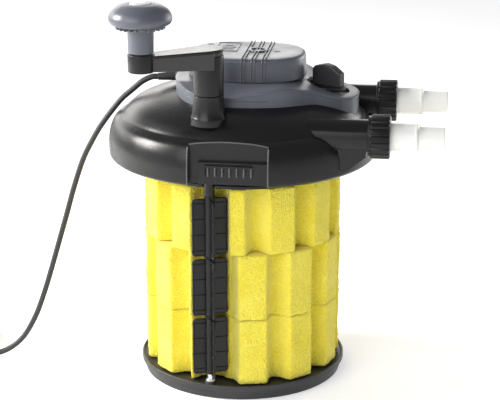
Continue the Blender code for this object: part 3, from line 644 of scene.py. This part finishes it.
def lid():
    """Domed head with its skirt, front recess, two webbed pipes and their bores."""
    profile = LID_CURVE + [(188, 331.4)] + rounded([(187, 331.6), *[(r, z, 1.0) for r, z in
                                                    LID_INSIDE[1:-1]], LID_INSIDE[-1]])
    obj = turned("lid_shell", profile, "black_plastic", 200)
    adds = [box("recess_back", (-56, -178.6, 334), (61, -166, 378))]
    for side, y in (("front", -PORT_Y), ("rear", PORT_Y)):
        bm = bmesh.new()
        side_view = [(146, 342), (160, 342), (188, 364), (188, 392), (146, 392)]
        add_prism(bm, side_view, y - 17, y + 17, UPRIGHT)
        web = finish_mesh(side + "_web", bm)
        adds.append(combine(web, [rod(side + "_rim_space", RIM_SPACE_R, 320, 366, steps=96)]))
        adds.append(rod(side + "_pipe", PORT_R, 96, 208, center=(y, PORT_Z), axis="X", steps=96))
    combine(obj, adds, "UNION")
    cuts = [rod(f"bore_{k}", PORT_BORE_R, 90, 220, center=(y, PORT_Z), axis="X", steps=72)
            for k, y in enumerate((-PORT_Y, PORT_Y))]
    cuts += [box("recess_cut", (-53, -215, 320), (58, -175, 405)),
             rod("shaft_hole", 9.0, 380, 450, center=SHAFT),
             rod("selector_hole", 6.8, 400, 440, center=(DIAL_X, 0.0)),
             rod("vent_hole", 2.2, 424, 440, center=(-94.0, -22.0), steps=32)]
    combine(obj, cuts)
    place(obj, ROOT, "lid")
    recess_fittings()


def recess_fittings():
    """The block in the lid's front recess, with its row of small teeth under a ledge."""
    bm = bmesh.new()
    add_box(bm, (-39.0, -181.0, 334.5), (57.9, -174.0, 365.0))
    add_box(bm, (-39.0, -182.6, 363.6), (57.9, -174.0, 366.0))
    add_box(bm, (-29.5, -185.6, 359.5), (36.5, -180.5, 362.0))
    add_box(bm, (-29.5, -183.6, 345.0), (-28.0, -180.5, 359.8))
    obj = finish_mesh("recess_block", bm, "black_plastic")
    place(bevelled(obj, 0.5), ROOT)
    bm = bmesh.new()
    for k in range(7):
        x = -25.0 + 10.0 * k
        add_box(bm, (x - 1.1, -185.4, 346.5), (x + 1.1, -180.5, 359.8))
    # Teeth in paler plastic: painted highlight on their edges.
    place(bevelled(finish_mesh("recess_teeth", bm, "painted_highlight_plastic"), 0.7, 2), ROOT)
    recess_bead()


def recess_bead():
    """Fine raised bead round the recess, down both sides and along its top, in paler plastic as a
    painted highlight.
    """
    side = [(r, z) for r, z in LID_CURVE if 334.0 < z < 386.0][::-1]
    left = [(-53.4, -math.sqrt(r * r - 53.4 ** 2), z) for r, z in side]
    right = [(58.4, -math.sqrt(r * r - 58.4 ** 2), z) for r, z in reversed(side)]
    crest = [(x, -175.4, dome_z(math.hypot(x, 175.4)) + 0.2) for x in
             [-52.0 + 11.0 * k for k in range(11)]]
    place(swept("recess_bead", [left, crest, right], 1.1, "painted_highlight_plastic", 3), ROOT)


def ports():
    """A union nut and a stepped hose tail on the end of each pipe."""
    for side, y in (("front", -PORT_Y), ("rear", PORT_Y)):
        at = (y, PORT_Z)
        union_nut(side, at)
        tail = rounded([(23.4, 211.3), (23.4, 215.6), (TAIL_R + 0.4, 215.6, 0.8),
                        (TAIL_R, 223.0, 8), (TAIL_R, TAIL_STEP_X - 3.2, 0.3),
                        (TAIL_R + 0.5, TAIL_STEP_X - 2.8, 0.3),
                        (TAIL_R + 0.4, TAIL_STEP_X - 0.6, 0.6),
                        (TAIL_R - 2.0, TAIL_STEP_X + 1.4, 1.2),
                        (TAIL_SMALL_R + 0.3, TAIL_STEP_X + 2.2, 1.0),
                        (TAIL_SMALL_R, TAIL_END_X - 1.6, 0.4),
                        (TAIL_SMALL_R - 0.8, TAIL_END_X, 0.8),
                        (TAIL_BORE_R, TAIL_END_X, 0.8), (TAIL_BORE_R, 211.3)])
        obj = turned("tail_" + side, tail, "white_plastic", 96, True, at, "X", sharp=25.0)
        place(obj, ROOT, "hose_tail_" + side)


def union_nut(side, at, ribs=20):
    """Ring nut with straight grip lugs between two plain collars."""
    bm = bmesh.new()
    steps = ribs * 12
    levels = [(NUT_X0, 28.2, 0.0), (NUT_X0 + 0.6, 28.9, 0.0), (NUT_X0 + 3.0, 28.9, 0.0),
              (NUT_X0 + 3.4, 29.0, 0.3), (NUT_X0 + 4.6, 29.1, 1.0), (NUT_X1 - 2.4, 29.2, 1.0),
              (NUT_X1 - 1.0, 29.0, 0.8), (NUT_X1 - 0.2, 28.4, 0.3), (NUT_X1, 27.6, 0.0),
              (NUT_X1, 20.5, 0.0), (216.0, 20.5, 0.0), (216.0, 24.2, 0.0), (NUT_X0, 24.2, 0.0)]
    rings = []
    for x, radius, lug in levels:
        ring = []
        for k in range(steps):
            phase = (k / steps * ribs) % 1.0
            rise = min(max((0.36 - abs(phase - 0.5)) / 0.07, 0.0), 1.0)
            ring.append(bm.verts.new((*polar(radius + 1.9 * lug * rise, 360.0 * k / steps), x)))
        rings.append(ring)
    bridge(bm, rings, closed=True)
    spin = Matrix.Translation((0.0, at[0], at[1])) @ Matrix.Rotation(math.radians(90), 4, "Y")
    bmesh.ops.transform(bm, matrix=spin, verts=bm.verts)
    obj = finish_mesh("nut_" + side, bm, "grip_plastic", 28.0)
    place(obj, "nut_" + side, "union_nut_" + side)


# ---------------------------------------------------------------- lamp housing

def collar_outline():
    half = [(-94, 0), (-92, -35), (-84, -62), (-69, -89), (-49, -106), (-24, -112), (6, -113),
            (36, -109), (66, -98), (92, -80), (112, -63), (131, -55), (149, -47), (162, -34),
            (168, -17), (169, 0)]
    return smooth(half + [(x, -y) for x, y in reversed(half[1:-1])], 8, closed=True)


def collar_top(x, y):
    """Height of the base's top, which falls towards the selector and a little at the sides."""
    t = min(max((x - COLLAR_FALL_X) / COLLAR_FALL_SPAN, 0.0), 1.0)
    fall = COLLAR_FALL * t * t * (3 - 2 * t)
    side = min(max((abs(y) - 66.0) / 46.0, 0.0), 1.0) * min(max((60.0 - x) / 60.0, 0.0), 1.0)
    return COLLAR_Z - fall - 10.0 * side


def lamp_base():
    """Housing base: upright wall with a fine bead at its top, then a sloping shoulder."""
    outline = collar_outline()
    count = len(outline)
    inward = []
    for i in range(count):
        along = Vector(outline[(i + 1) % count]) - Vector(outline[i - 1])
        along.normalize()
        inward.append(Vector((-along.y, along.x)))
    if (Vector(outline[0]) + inward[0] * 5).length > Vector(outline[0]).length:
        inward = [-v for v in inward]
    mid = Vector((20.0, 0.0))
    bm = bmesh.new()
    rings = []

    def ring(inset, height):
        rings.append([bm.verts.new((*p, height(*p))) for p in
                      ((Vector(o) + n * inset)[:] for o, n in zip(outline, inward))])

    ring(0.0, lambda x, y: dome_z(math.hypot(x, y)) - 2.0)
    ring(0.0, lambda x, y: collar_top(x, y) - 3.6)
    ring(-0.7, lambda x, y: collar_top(x, y) - 3.0)
    ring(-0.7, lambda x, y: collar_top(x, y) - 1.6)
    ring(0.4, lambda x, y: collar_top(x, y) - 0.5)
    ring(2.0, lambda x, y: collar_top(x, y))
    for share in (0.93, 0.86, 0.79, 0.7, 0.6, 0.45, 0.25):
        rings.append([bm.verts.new((*p, collar_top(*p))) for p in
                      ((mid + (Vector(o) - mid) * share)[:] for o in outline)])
    bridge(bm, rings)
    bm.faces.new(rings[-1])
    floor_ring = [bm.verts.new((v.co.x, v.co.y, dome_z(math.hypot(v.co.x, v.co.y)) - 2.0))
                  for v in rings[-1]]
    bridge(bm, [floor_ring, rings[0]])
    bm.faces.new(floor_ring)
    obj = finish_mesh("housing_base", bm, "grey_plastic", 40.0)
    well = turned("well", rounded([(0, 480), (35, 480), (35, 452), (31.5, 444.0, 2), (31.0, 424.0),
                                   (0, 424.0)]), None, 96, center=(DIAL_X, 0.0))
    combine(obj, [well])
    place(obj, ROOT, "lamp_base")
    base_ledge()


def base_ledge():
    """Fine ledge along the front left wall of the housing base."""
    outline = [p for p in collar_outline() if p[1] < -60 and -72 < p[0] < 50]
    path = [(x, y - 0.1, dome_z(math.hypot(x, y)) + 9.5) for x, y in outline]
    place(swept("base_ledge", [path], 0.9, "grey_plastic"), ROOT)


def cover_point(angle, inset, power=COVER_POWER):
    """A point of the cover's superellipse, moved in by `inset`."""
    c, s = math.cos(angle), math.sin(angle)
    return (COVER_X + (COVER_A - inset) * math.copysign(abs(c) ** (2 / power), c),
            (COVER_B - inset) * math.copysign(abs(s) ** (2 / power), s))


COVER_LEVELS = [(COVER_Z0, 0.0), (470.0, 0.9), (COVER_TOP - 5.5, 1.6), (COVER_TOP - 3.4, 2.1),
                (COVER_TOP - 1.7, 3.2), (COVER_TOP - 0.5, 5.0), (COVER_TOP, 7.4)]


def cover_ring(bm, inset, z, steps=160):
    return [bm.verts.new((*cover_point(math.tau * k / steps, inset), z)) for k in range(steps)]


def lamp_cover():
    """Hollow cover with its lens seat and two counterbored screw holes."""
    bm = bmesh.new()
    rings = [cover_ring(bm, inset, z) for z, inset in COVER_LEVELS]
    rings += [cover_ring(bm, inset, COVER_TOP) for inset in (20.0, 38.0, 54.0)]
    bm.faces.new(rings[-1])
    inner = [cover_ring(bm, 4.5, z) for z in (COVER_Z0, COVER_TOP - 5.0)]
    bm.faces.new(inner[1])
    bridge(bm, [inner[1], inner[0]] + rings)
    obj = finish_mesh("housing_cover", bm, "grey_plastic", 30.0)
    cuts = [rod("lens_cut", 9.0, 460, 500, center=LENS)]
    for k, at in enumerate(COVER_SCREWS):
        cuts.append(rod(f"counterbore_{k}", 4.6, COVER_TOP - 2.6, 500, center=at, steps=40))
        cuts.append(rod(f"screw_hole_{k}", 2.4, 460, 500, center=at, steps=24))
    combine(obj, cuts)
    place(obj, ROOT, "lamp_cover")
    cover_trim()


def cover_half_width(x, inset, power=COVER_POWER):
    """Half of the cover's depth at a place along its length."""
    share = min(abs(x - COVER_X) / (COVER_A - inset), 1.0)
    return (COVER_B - inset) * (1 - share ** power) ** (1 / power)


def add_strap(bm, x, width=1.7, proud=1.9):
    """A thin rib up the front wall, over the top and down the rear wall."""
    side = [(-cover_half_width(x, inset), z) for z, inset in COVER_LEVELS]
    path = [Vector(p) for p in side + [(-y, z) for y, z in reversed(side)]]
    outer = []
    for i, point in enumerate(path):
        along = (path[min(i + 1, len(path) - 1)] - path[max(i - 1, 0)]).normalized()
        outer.append(point + Vector((-along.y, along.x)) * proud)
    inner = [p + (p - q).normalized() * 0.8 for p, q in zip(path, outer)]
    rows = [[bm.verts.new((x + dx, p.x, p.y)) for p in line]
            for dx, line in ((-width / 2, inner), (-width / 2 + 0.3, outer),
                             (width / 2 - 0.3, outer), (width / 2, inner))]
    for first, second in zip(rows, rows[1:] + rows[:1]):
        for k in range(len(path) - 1):
            bm.faces.new((first[k], first[k + 1], second[k + 1], second[k]))
    bm.faces.new([row[0] for row in rows])
    bm.faces.new([row[-1] for row in rows])


def cover_trim():
    """Straps, lens ring and a plain outlined field on top of the cover."""
    bm = bmesh.new()
    for x in (6.3, 10.9, 20.7, 25.3, 35.7, 40.3):
        add_strap(bm, x)
    top = COVER_TOP - 0.3
    field = ((-40.0, -8.0), (-7.0, 50.0))
    (x0, y0), (x1, y1) = field
    for low, high in (((x0, y0), (x1, y0 + 1.2)), ((x0, y1 - 1.2), (x1, y1)),
                      ((x0, y0), (x0 + 1.2, y1)), ((x1 - 1.2, y0), (x1, y1))):
        add_box(bm, (*low, top), (*high, COVER_TOP + 0.7))
    for k, length in enumerate((18.0, 24.0, 12.0)):
        y = 6.0 + 12.0 * k
        add_box(bm, (-23.5 - length / 2, y, top), (-23.5 + length / 2, y + 5.0, COVER_TOP + 0.6))
    obj = finish_mesh("cover_trim", bm, "grey_plastic", 40.0)
    place(obj, ROOT)
    ring = rounded([(9.1, top - 0.5), (9.1, COVER_TOP + 2.2, 0.6), (12.8, COVER_TOP + 2.2, 1.0),
                    (14.2, top - 0.5)])
    lens_ring = turned("lens_ring", ring, "grey_plastic", 72, True, LENS)
    stretch = Matrix.Translation((LENS[0] * MM, LENS[1] * MM, 0)) @ Matrix.Diagonal((1.12, 1, 1, 1))
    lens_ring.data.transform(stretch @ Matrix.Translation((-LENS[0] * MM, -LENS[1] * MM, 0)))
    place(lens_ring, ROOT)
    lens = rounded([(0, COVER_TOP + 0.9), (5.0, COVER_TOP + 0.6, 6), (8.6, COVER_TOP - 1.4, 1),
                    (8.6, COVER_TOP - 4.8), (0, COVER_TOP - 4.8)])
    place(turned("lens_dome", lens, "lens", 64, center=LENS), ROOT, "lamp_lens")


# ---------------------------------------------------------------- selector

def selector():
    """Round dial with a raised grip blade and a small pointer."""
    dial = rounded([(0, 437.5), (DIAL_R, 437.5, 1.4), (DIAL_R, 431.2, 0.4), (0, 431.2)])
    disc = turned("selector_dial", dial, "black_plastic", 96, center=(DIAL_X, 0.0))
    bm = bmesh.new()
    side = rounded([(-23, 434), (23.5, 434), (23.5, 456.0, 2.0), (9, 465.5, 16), (-4, 468.0, 10),
                    (-20, 464.0, 4), (-23.5, 459, 2)], closed=True, steps=5)
    turn = Matrix.Translation((DIAL_X, 0, 0)) @ Matrix.Rotation(math.radians(-28), 4, "Z")
    add_prism(bm, side, -7.0, 7.0, turn @ UPRIGHT)
    # Blade in the lighter plastic: painted sheen.
    blade = finish_mesh("selector_blade", bm, "painted_sheen_plastic")
    place(bevelled(blade, 2.2, 3, 50.0), "selector")
    bm = bmesh.new()
    add_prism(bm, [(-30.5, 0), (-24.5, -4), (-24.5, 4)], 436.0, 440.0, turn)
    pointer = finish_mesh("selector_pointer", bm, "black_plastic")
    place(bevelled(pointer, 0.6), "selector")
    place(disc, "selector", "selector_knob")


# ---------------------------------------------------------------- crank

def crank_matrix():
    return Matrix.Translation((*SHAFT, 0)) @ Matrix.Rotation(math.radians(CRANK_HEADING), 4, "Z")


def crank_tip():
    dx, dy = polar(CRANK_L, CRANK_HEADING)
    return SHAFT[0] + dx, SHAFT[1] + dy


def crank_arm():
    """Round hub, a socket for the knob's pin, and a flanged bar over a recessed web."""
    turn = crank_matrix()
    tip = crank_tip()
    hub = rounded([(0, HUB_TOP), (HUB_R, HUB_TOP, 1.6), (HUB_R, HUB_Z0 + 0.2, 0.8),
                   (4.8, HUB_Z0 + 0.2), (4.8, 499.4), (0, 499.4)])
    place(turned("crank_hub", hub, "black_plastic", 96, center=SHAFT), "crank", "crank_arm")
    socket = rounded([(0, 495.4), (5.3, 495.4), (5.3, 514.4, 0.5), (18.6, 514.4, 1.2),
                      (18.2, 489.0, 1.2), (0, 489.0)])
    place(turned("crank_socket", socket, "black_plastic", 96, center=tip), "crank")
    end = CRANK_L - 12.0

    def plan(rounding, wide, narrow, start):
        """Outline from a round end about the hub to the narrow end at the socket."""
        arc = [polar(rounding, 104.0 + 8.0 * k) for k in range(20)]
        return arc + [(start, -wide), (end, -narrow), (end, narrow), (start, wide)]

    def top(x):
        return 517.0 - 5.5 * max(x, 0.0) / CRANK_L

    for name, outline, low, thick, soft in (
            ("crank_flange", plan(20.9, 22.4, 13.2, 0.0), None, 4.4, 1.0),
            ("crank_web", plan(19.8, 21.7, 11.4, -3.0), 489.8, 0.0, 0.6)):
        bm = bmesh.new()
        add_prism(bm, outline, 0.0, 1.0)
        for vert in bm.verts:
            if vert.co.z > 0.5:
                vert.co.z = top(vert.co.x) - (0.0 if thick else 3.0)
            else:
                vert.co.z = low if low else top(vert.co.x) - thick
        bmesh.ops.transform(bm, matrix=turn, verts=bm.verts)
        # The web takes the lighter plastic as painted sheen; the flange stays black.
        piece = finish_mesh(name, bm, "painted_sheen_plastic" if low else "black_plastic")
        if low:
            notch = rounded([(-40, 480), (-2.0, 480), (-4.0, 500, 5), (-14, 508.6, 6),
                             (-40, 508.6)], closed=True)
            cutter = bmesh.new()
            add_prism(cutter, notch, -40, 40, turn @ UPRIGHT)
            combine(piece, [finish_mesh("notch", cutter)])
        place(bevelled(piece, soft, 3, 50.0), "crank")


def knob():
    """Mushroom hand knob with ribs under its rim and a pale cap."""
    tip = crank_tip()
    crown = smooth([(15.8, 583.2), (24, 582.0), (32, 578.8), (38.5, 574.0), (42.0, 568.5),
                    (43.2, 564.0), (42.6, 559.5), (40.2, 556.2), (36.5, 554.6)], 5)
    body = [(0, 580.5), (15.6, 580.5), (15.6, 583.0)] + crown + rounded(
        [(35.5, 554.2), (30.0, 553.4, 1.0), (20.5, 551.0, 2.0), (17.9, 547.5, 1.0),
         (17.4, KNOB_Z0 + 0.6, 0.5), (5.3, KNOB_Z0), (5.3, 562.0), (0, 562.0)])
    obj = turned("knob_body", body, "grey_plastic", 128, center=tip)
    place(obj, "hand_knob", "crank_knob")
    bm = bmesh.new()
    for k in range(24):
        turn = Matrix.Translation((*tip, 0)) @ Matrix.Rotation(math.tau * k / 24, 4, "Z")
        add_box(bm, (18.5, -0.7, 549.2), (34.0, 0.7, 554.8), turn)
    teeth = finish_mesh("knob_ribs", bm, "grey_plastic")
    place(bevelled(teeth, 0.4, 1), "hand_knob")
    cap = rounded([(0, 585.0), (8, 585.0, 10), (14.6, 584.0, 1.5), (15.2, 580.8), (0, 580.8)])
    place(turned("knob_badge", cap, "light_grey_plastic", 72, center=tip), "hand_knob", "knob_cap")


def shaft_boss():
    z = dome_z(math.hypot(*SHAFT))
    flare = smooth([(21.4, HUB_Z0 - 0.9), (21.2, 446.0), (21.6, 438.0), (22.5, 430.0),
                    (24.0, 423.0), (25.2, 419.6), (25.4, 416.0)], 4)
    profile = [(12.0, HUB_Z0 - 0.3), (20.8, HUB_Z0 - 0.3), *flare,
               (25.2, z - 8.0), (20.0, z - 8.0), (12.0, z - 3.0)]
    place(turned("boss_flare", profile, "black_plastic", 96, True, SHAFT), ROOT, "shaft_boss")


def paddles():
    """Three paddles of four ribbed vanes on one shaft."""
    for k, name in enumerate(("paddle_lower", "paddle_middle", "paddle_upper")):
        low = PADDLE_Z0 + k * PADDLE_PITCH
        high = low + PADDLE_H
        bm = bmesh.new()
        for quarter in range(4):
            turn = Matrix.Translation((*SHAFT, 0)) @ Matrix.Rotation(
                math.radians(CRANK_HEADING + 90.0 * quarter), 4, "Z")
            plate = rounded([(5.5, low), (VANE_R, low, 4.5), (VANE_R, high, 4.5), (5.5, high)],
                            closed=True, steps=6)
            add_prism(bm, plate, -0.8, 0.8, turn @ UPRIGHT)
            rim = 2.0
            for a, b in (((5.5, low), (VANE_R - 3, low + rim)),
                         ((5.5, high - rim), (VANE_R - 3, high)),
                         ((VANE_R - rim, low + 3.5), (VANE_R, high - 3.5))):
                add_box(bm, (a[0], -1.5, a[1]), (b[0], 1.5, b[1]), turn)
            for share in (0.09, 0.365, 0.64, 0.915):
                z = low + share * PADDLE_H
                add_box(bm, (5.5, -1.8, z - 0.7), (VANE_R + 0.9, 1.8, z + 0.7), turn)
        hub = rounded([(4.8, low - 0.8), (7.4, low - 0.8, 0.6), (7.4, high + 0.8, 0.6),
                       (4.8, high + 0.8)], closed=True)
        vanes = finish_mesh(name + "_vanes", bm, "black_plastic")
        place(bevelled(vanes, 0.35, 1), "crank", name)
        place(turned(name + "_hub", hub, "black_plastic", 48, True, SHAFT), "crank")
        collar = rounded([(4.8, high + 0.8), (6.6, high + 0.8), (8.2, high + 2.4, 0.5),
                          (8.2, high + 4.0, 0.5), (4.8, high + 4.4)], closed=True, steps=3)
        place(turned(name + "_collar", collar, "black_plastic", 48, True, SHAFT),
              "crank")


# ---------------------------------------------------------------- foam cartridge

def foam_radius(degrees, phase):
    """Outer radius of a foam ring: flat-topped lobes, scooped grooves, room for the paddles."""
    pitch = 360.0 / FOAM_LOBES
    t = abs((degrees - phase + pitch / 2) % pitch - pitch / 2)
    if t < FOAM_TIP_HALF:
        radius = FOAM_TIP_R * math.cos(math.radians(FOAM_TIP_HALF)) / math.cos(math.radians(t))
    else:
        u = (t - FOAM_TIP_HALF) / (pitch / 2 - FOAM_TIP_HALF)
        radius = FOAM_TIP_R - (FOAM_TIP_R - FOAM_GROOVE_R) * (1 - (1 - u) ** 2) ** 0.72
    distance = math.hypot(*SHAFT)
    away = math.radians(degrees) - math.atan2(SHAFT[1], SHAFT[0])
    reach = POCKET_R ** 2 - (distance * math.sin(away)) ** 2
    if reach > 0 and math.cos(away) > 0:
        radius = min(radius, distance * math.cos(away) - math.sqrt(reach))
    return radius


def foam_ring(name, low):
    """Foam ring with rounded rims and an uneven open-cell skin."""
    phase = FOAM_PHASE[name]
    columns = 540
    high = low + FOAM_H - 0.3
    radii = [foam_radius(360.0 * k / columns, phase) for k in range(columns)]
    soft = [(radii[k - 2] + 2 * radii[k - 1] + 3 * radii[k] + 2 * radii[(k + 1) % columns]
             + radii[(k + 2) % columns]) / 9 for k in range(columns)]
    rim = 3.2
    rows = [(rim * (1 - math.sin(a)), low + rim * (1 - math.cos(a)))
            for a in (0.0, math.pi / 8, math.pi / 4, 3 * math.pi / 8)]
    levels = 40
    rows += [(0.0, low + rim + (high - low - 2 * rim) * i / levels) for i in range(levels + 1)]
    rows += [(inset, low + high - z) for inset, z in reversed(rows[:4])]
    flat = [rim + 2.2 * i for i in range(1, 14)]
    bm = bmesh.new()
    rings = []
    seed = Vector((low * 0.37, phase * 0.11, 4.2))

    def ring(inset, z, loose):
        made = []
        for k in range(columns):
            angle = 360.0 * k / columns
            r = max(soft[k] - inset, FOAM_BORE_R + 6)
            at = Vector((*polar(r, angle), z))
            swell = noise.noise(at * 0.022 + seed) * 1.5 + noise.noise(at * 0.07 + seed) * 0.5
            skin = noise.noise(at * 0.55 + seed) * 1.1 + noise.noise(at * 1.3 - seed) * 1.2
            out = Vector((*polar(1.0, angle), 0.0))
            moved = at + out * (swell + skin) * loose
            moved.z += noise.noise(at * 0.5 - seed) * 1.1 * loose if inset > 0.1 else 0.0
            made.append(bm.verts.new(moved))
        rings.append(made)

    for inset in (70.0, *reversed(flat)):
        ring(inset, low + 0.1, 0.5)
    for inset, z in rows:
        ring(inset, z, 1.0)
    for inset in (*flat, 70.0):
        ring(inset, high - 0.1, 0.5)
    for z in (high - 0.1, low + 0.1):
        rings.append([bm.verts.new((*polar(FOAM_BORE_R, 360.0 * k / columns), z))
                      for k in range(columns)])
    bridge(bm, rings, closed=True)
    obj = finish_mesh(name + "_skin", bm, "foam", 180.0)
    place(obj, "foam_ring_" + name[5:], name)


def cartridge():
    """Foam rings between the tray and the top plate."""
    for i, name in enumerate(("foam_lower", "foam_middle", "foam_upper")):
        foam_ring(name, FOAM_Z0 + i * FOAM_H)
    lip = TRAY_LIP_R
    profile = rounded([(0, TRAY_FLOOR_Z), (149.0, TRAY_FLOOR_Z, 1.2), (149.0, TRAY_LIP_Z, 0.8),
                       (lip, TRAY_LIP_Z, 1.2), (lip, TRAY_LIP_Z - 8.0, 0.8),
                       (TRAY_R + 1.2, TRAY_LIP_Z - 9.6, 0.8), (TRAY_R + 0.2, 1.5, 1.0),
                       (TRAY_R - 1.5, 0.05, 0.8), (138.0, 0.05, 0.5), (138.0, 6.0, 1.0),
                       (30.0, 6.0, 1.0), (30.0, 0.05, 0.5), (0, 0.05)], steps=4)
    # Tray in the lighter plastic: painted sheen.
    tray = turned("tray_body", profile, "painted_sheen_plastic", 200)
    boss = turned("tray_boss", rounded([(0, 26), (8.2, 26, 1), (8.2, 15), (0, 15)]), None, 48,
                  center=SHAFT)
    bm = bmesh.new()
    for k in range(8):
        turn = Matrix.Rotation(math.radians(22.5 + 45.0 * k), 4, "Z")
        add_box(bm, (26.0, -3.0, 0.05), (140.0, 3.0, 8.0), turn)
    spokes = finish_mesh("spokes", bm)
    combine(tray, [boss], "UNION")
    combine(tray, [rod("bush_hole", 6.3, 14.5, 40, center=SHAFT)])
    place(tray, ROOT, "base_tray")
    spokes.name = "tray_spokes"
    spokes.data.materials.append(MATS["black_plastic"])
    place(spokes, ROOT)
    plate = rounded([(50.4, 317.5), (50.4, 331.5, 0.8), (56.0, 331.5, 0.8), (56.0, 322.5, 1.5),
                     (146.0, 322.5, 1.0), (146.0, 317.5, 0.8)], closed=True)
    top = turned("plate_body", plate, "black_plastic", 160, True)
    combine(top, [rod("plate_hole", 9.5, 312, 340, center=SHAFT),
                  box("plate_slot", (SHAFT[0] - 9.5, -160, 312), (SHAFT[0] + 9.5, SHAFT[1], 340))])
    place(top, ROOT, "top_plate")


def remaining_nodes():
    """Procedural materials and smooth shading on the CAD nodes that stay in view."""
    slots = {p["node"]: p["material_slot"] for p in frame["record"]["subparts"]}
    for name, obj in frame["nodes"].items():
        obj.data.materials.clear()
        dark = name.startswith("cover_screw")
        obj.data.materials.append(MATS["dark_steel" if dark else slots[name]])
        obj.data.shade_smooth()
        obj.data.set_sharp_from_angle(angle=math.radians(30))


camera()
remaining_nodes()
mains_lead()
lid()
ports()
lamp_base()
lamp_cover()
selector()
shaft_boss()
crank_arm()
knob()
paddles()
cartridge()
studio()

bpy.context.scene.view_settings.view_transform = "Standard"
bpy.context.view_layer.update()
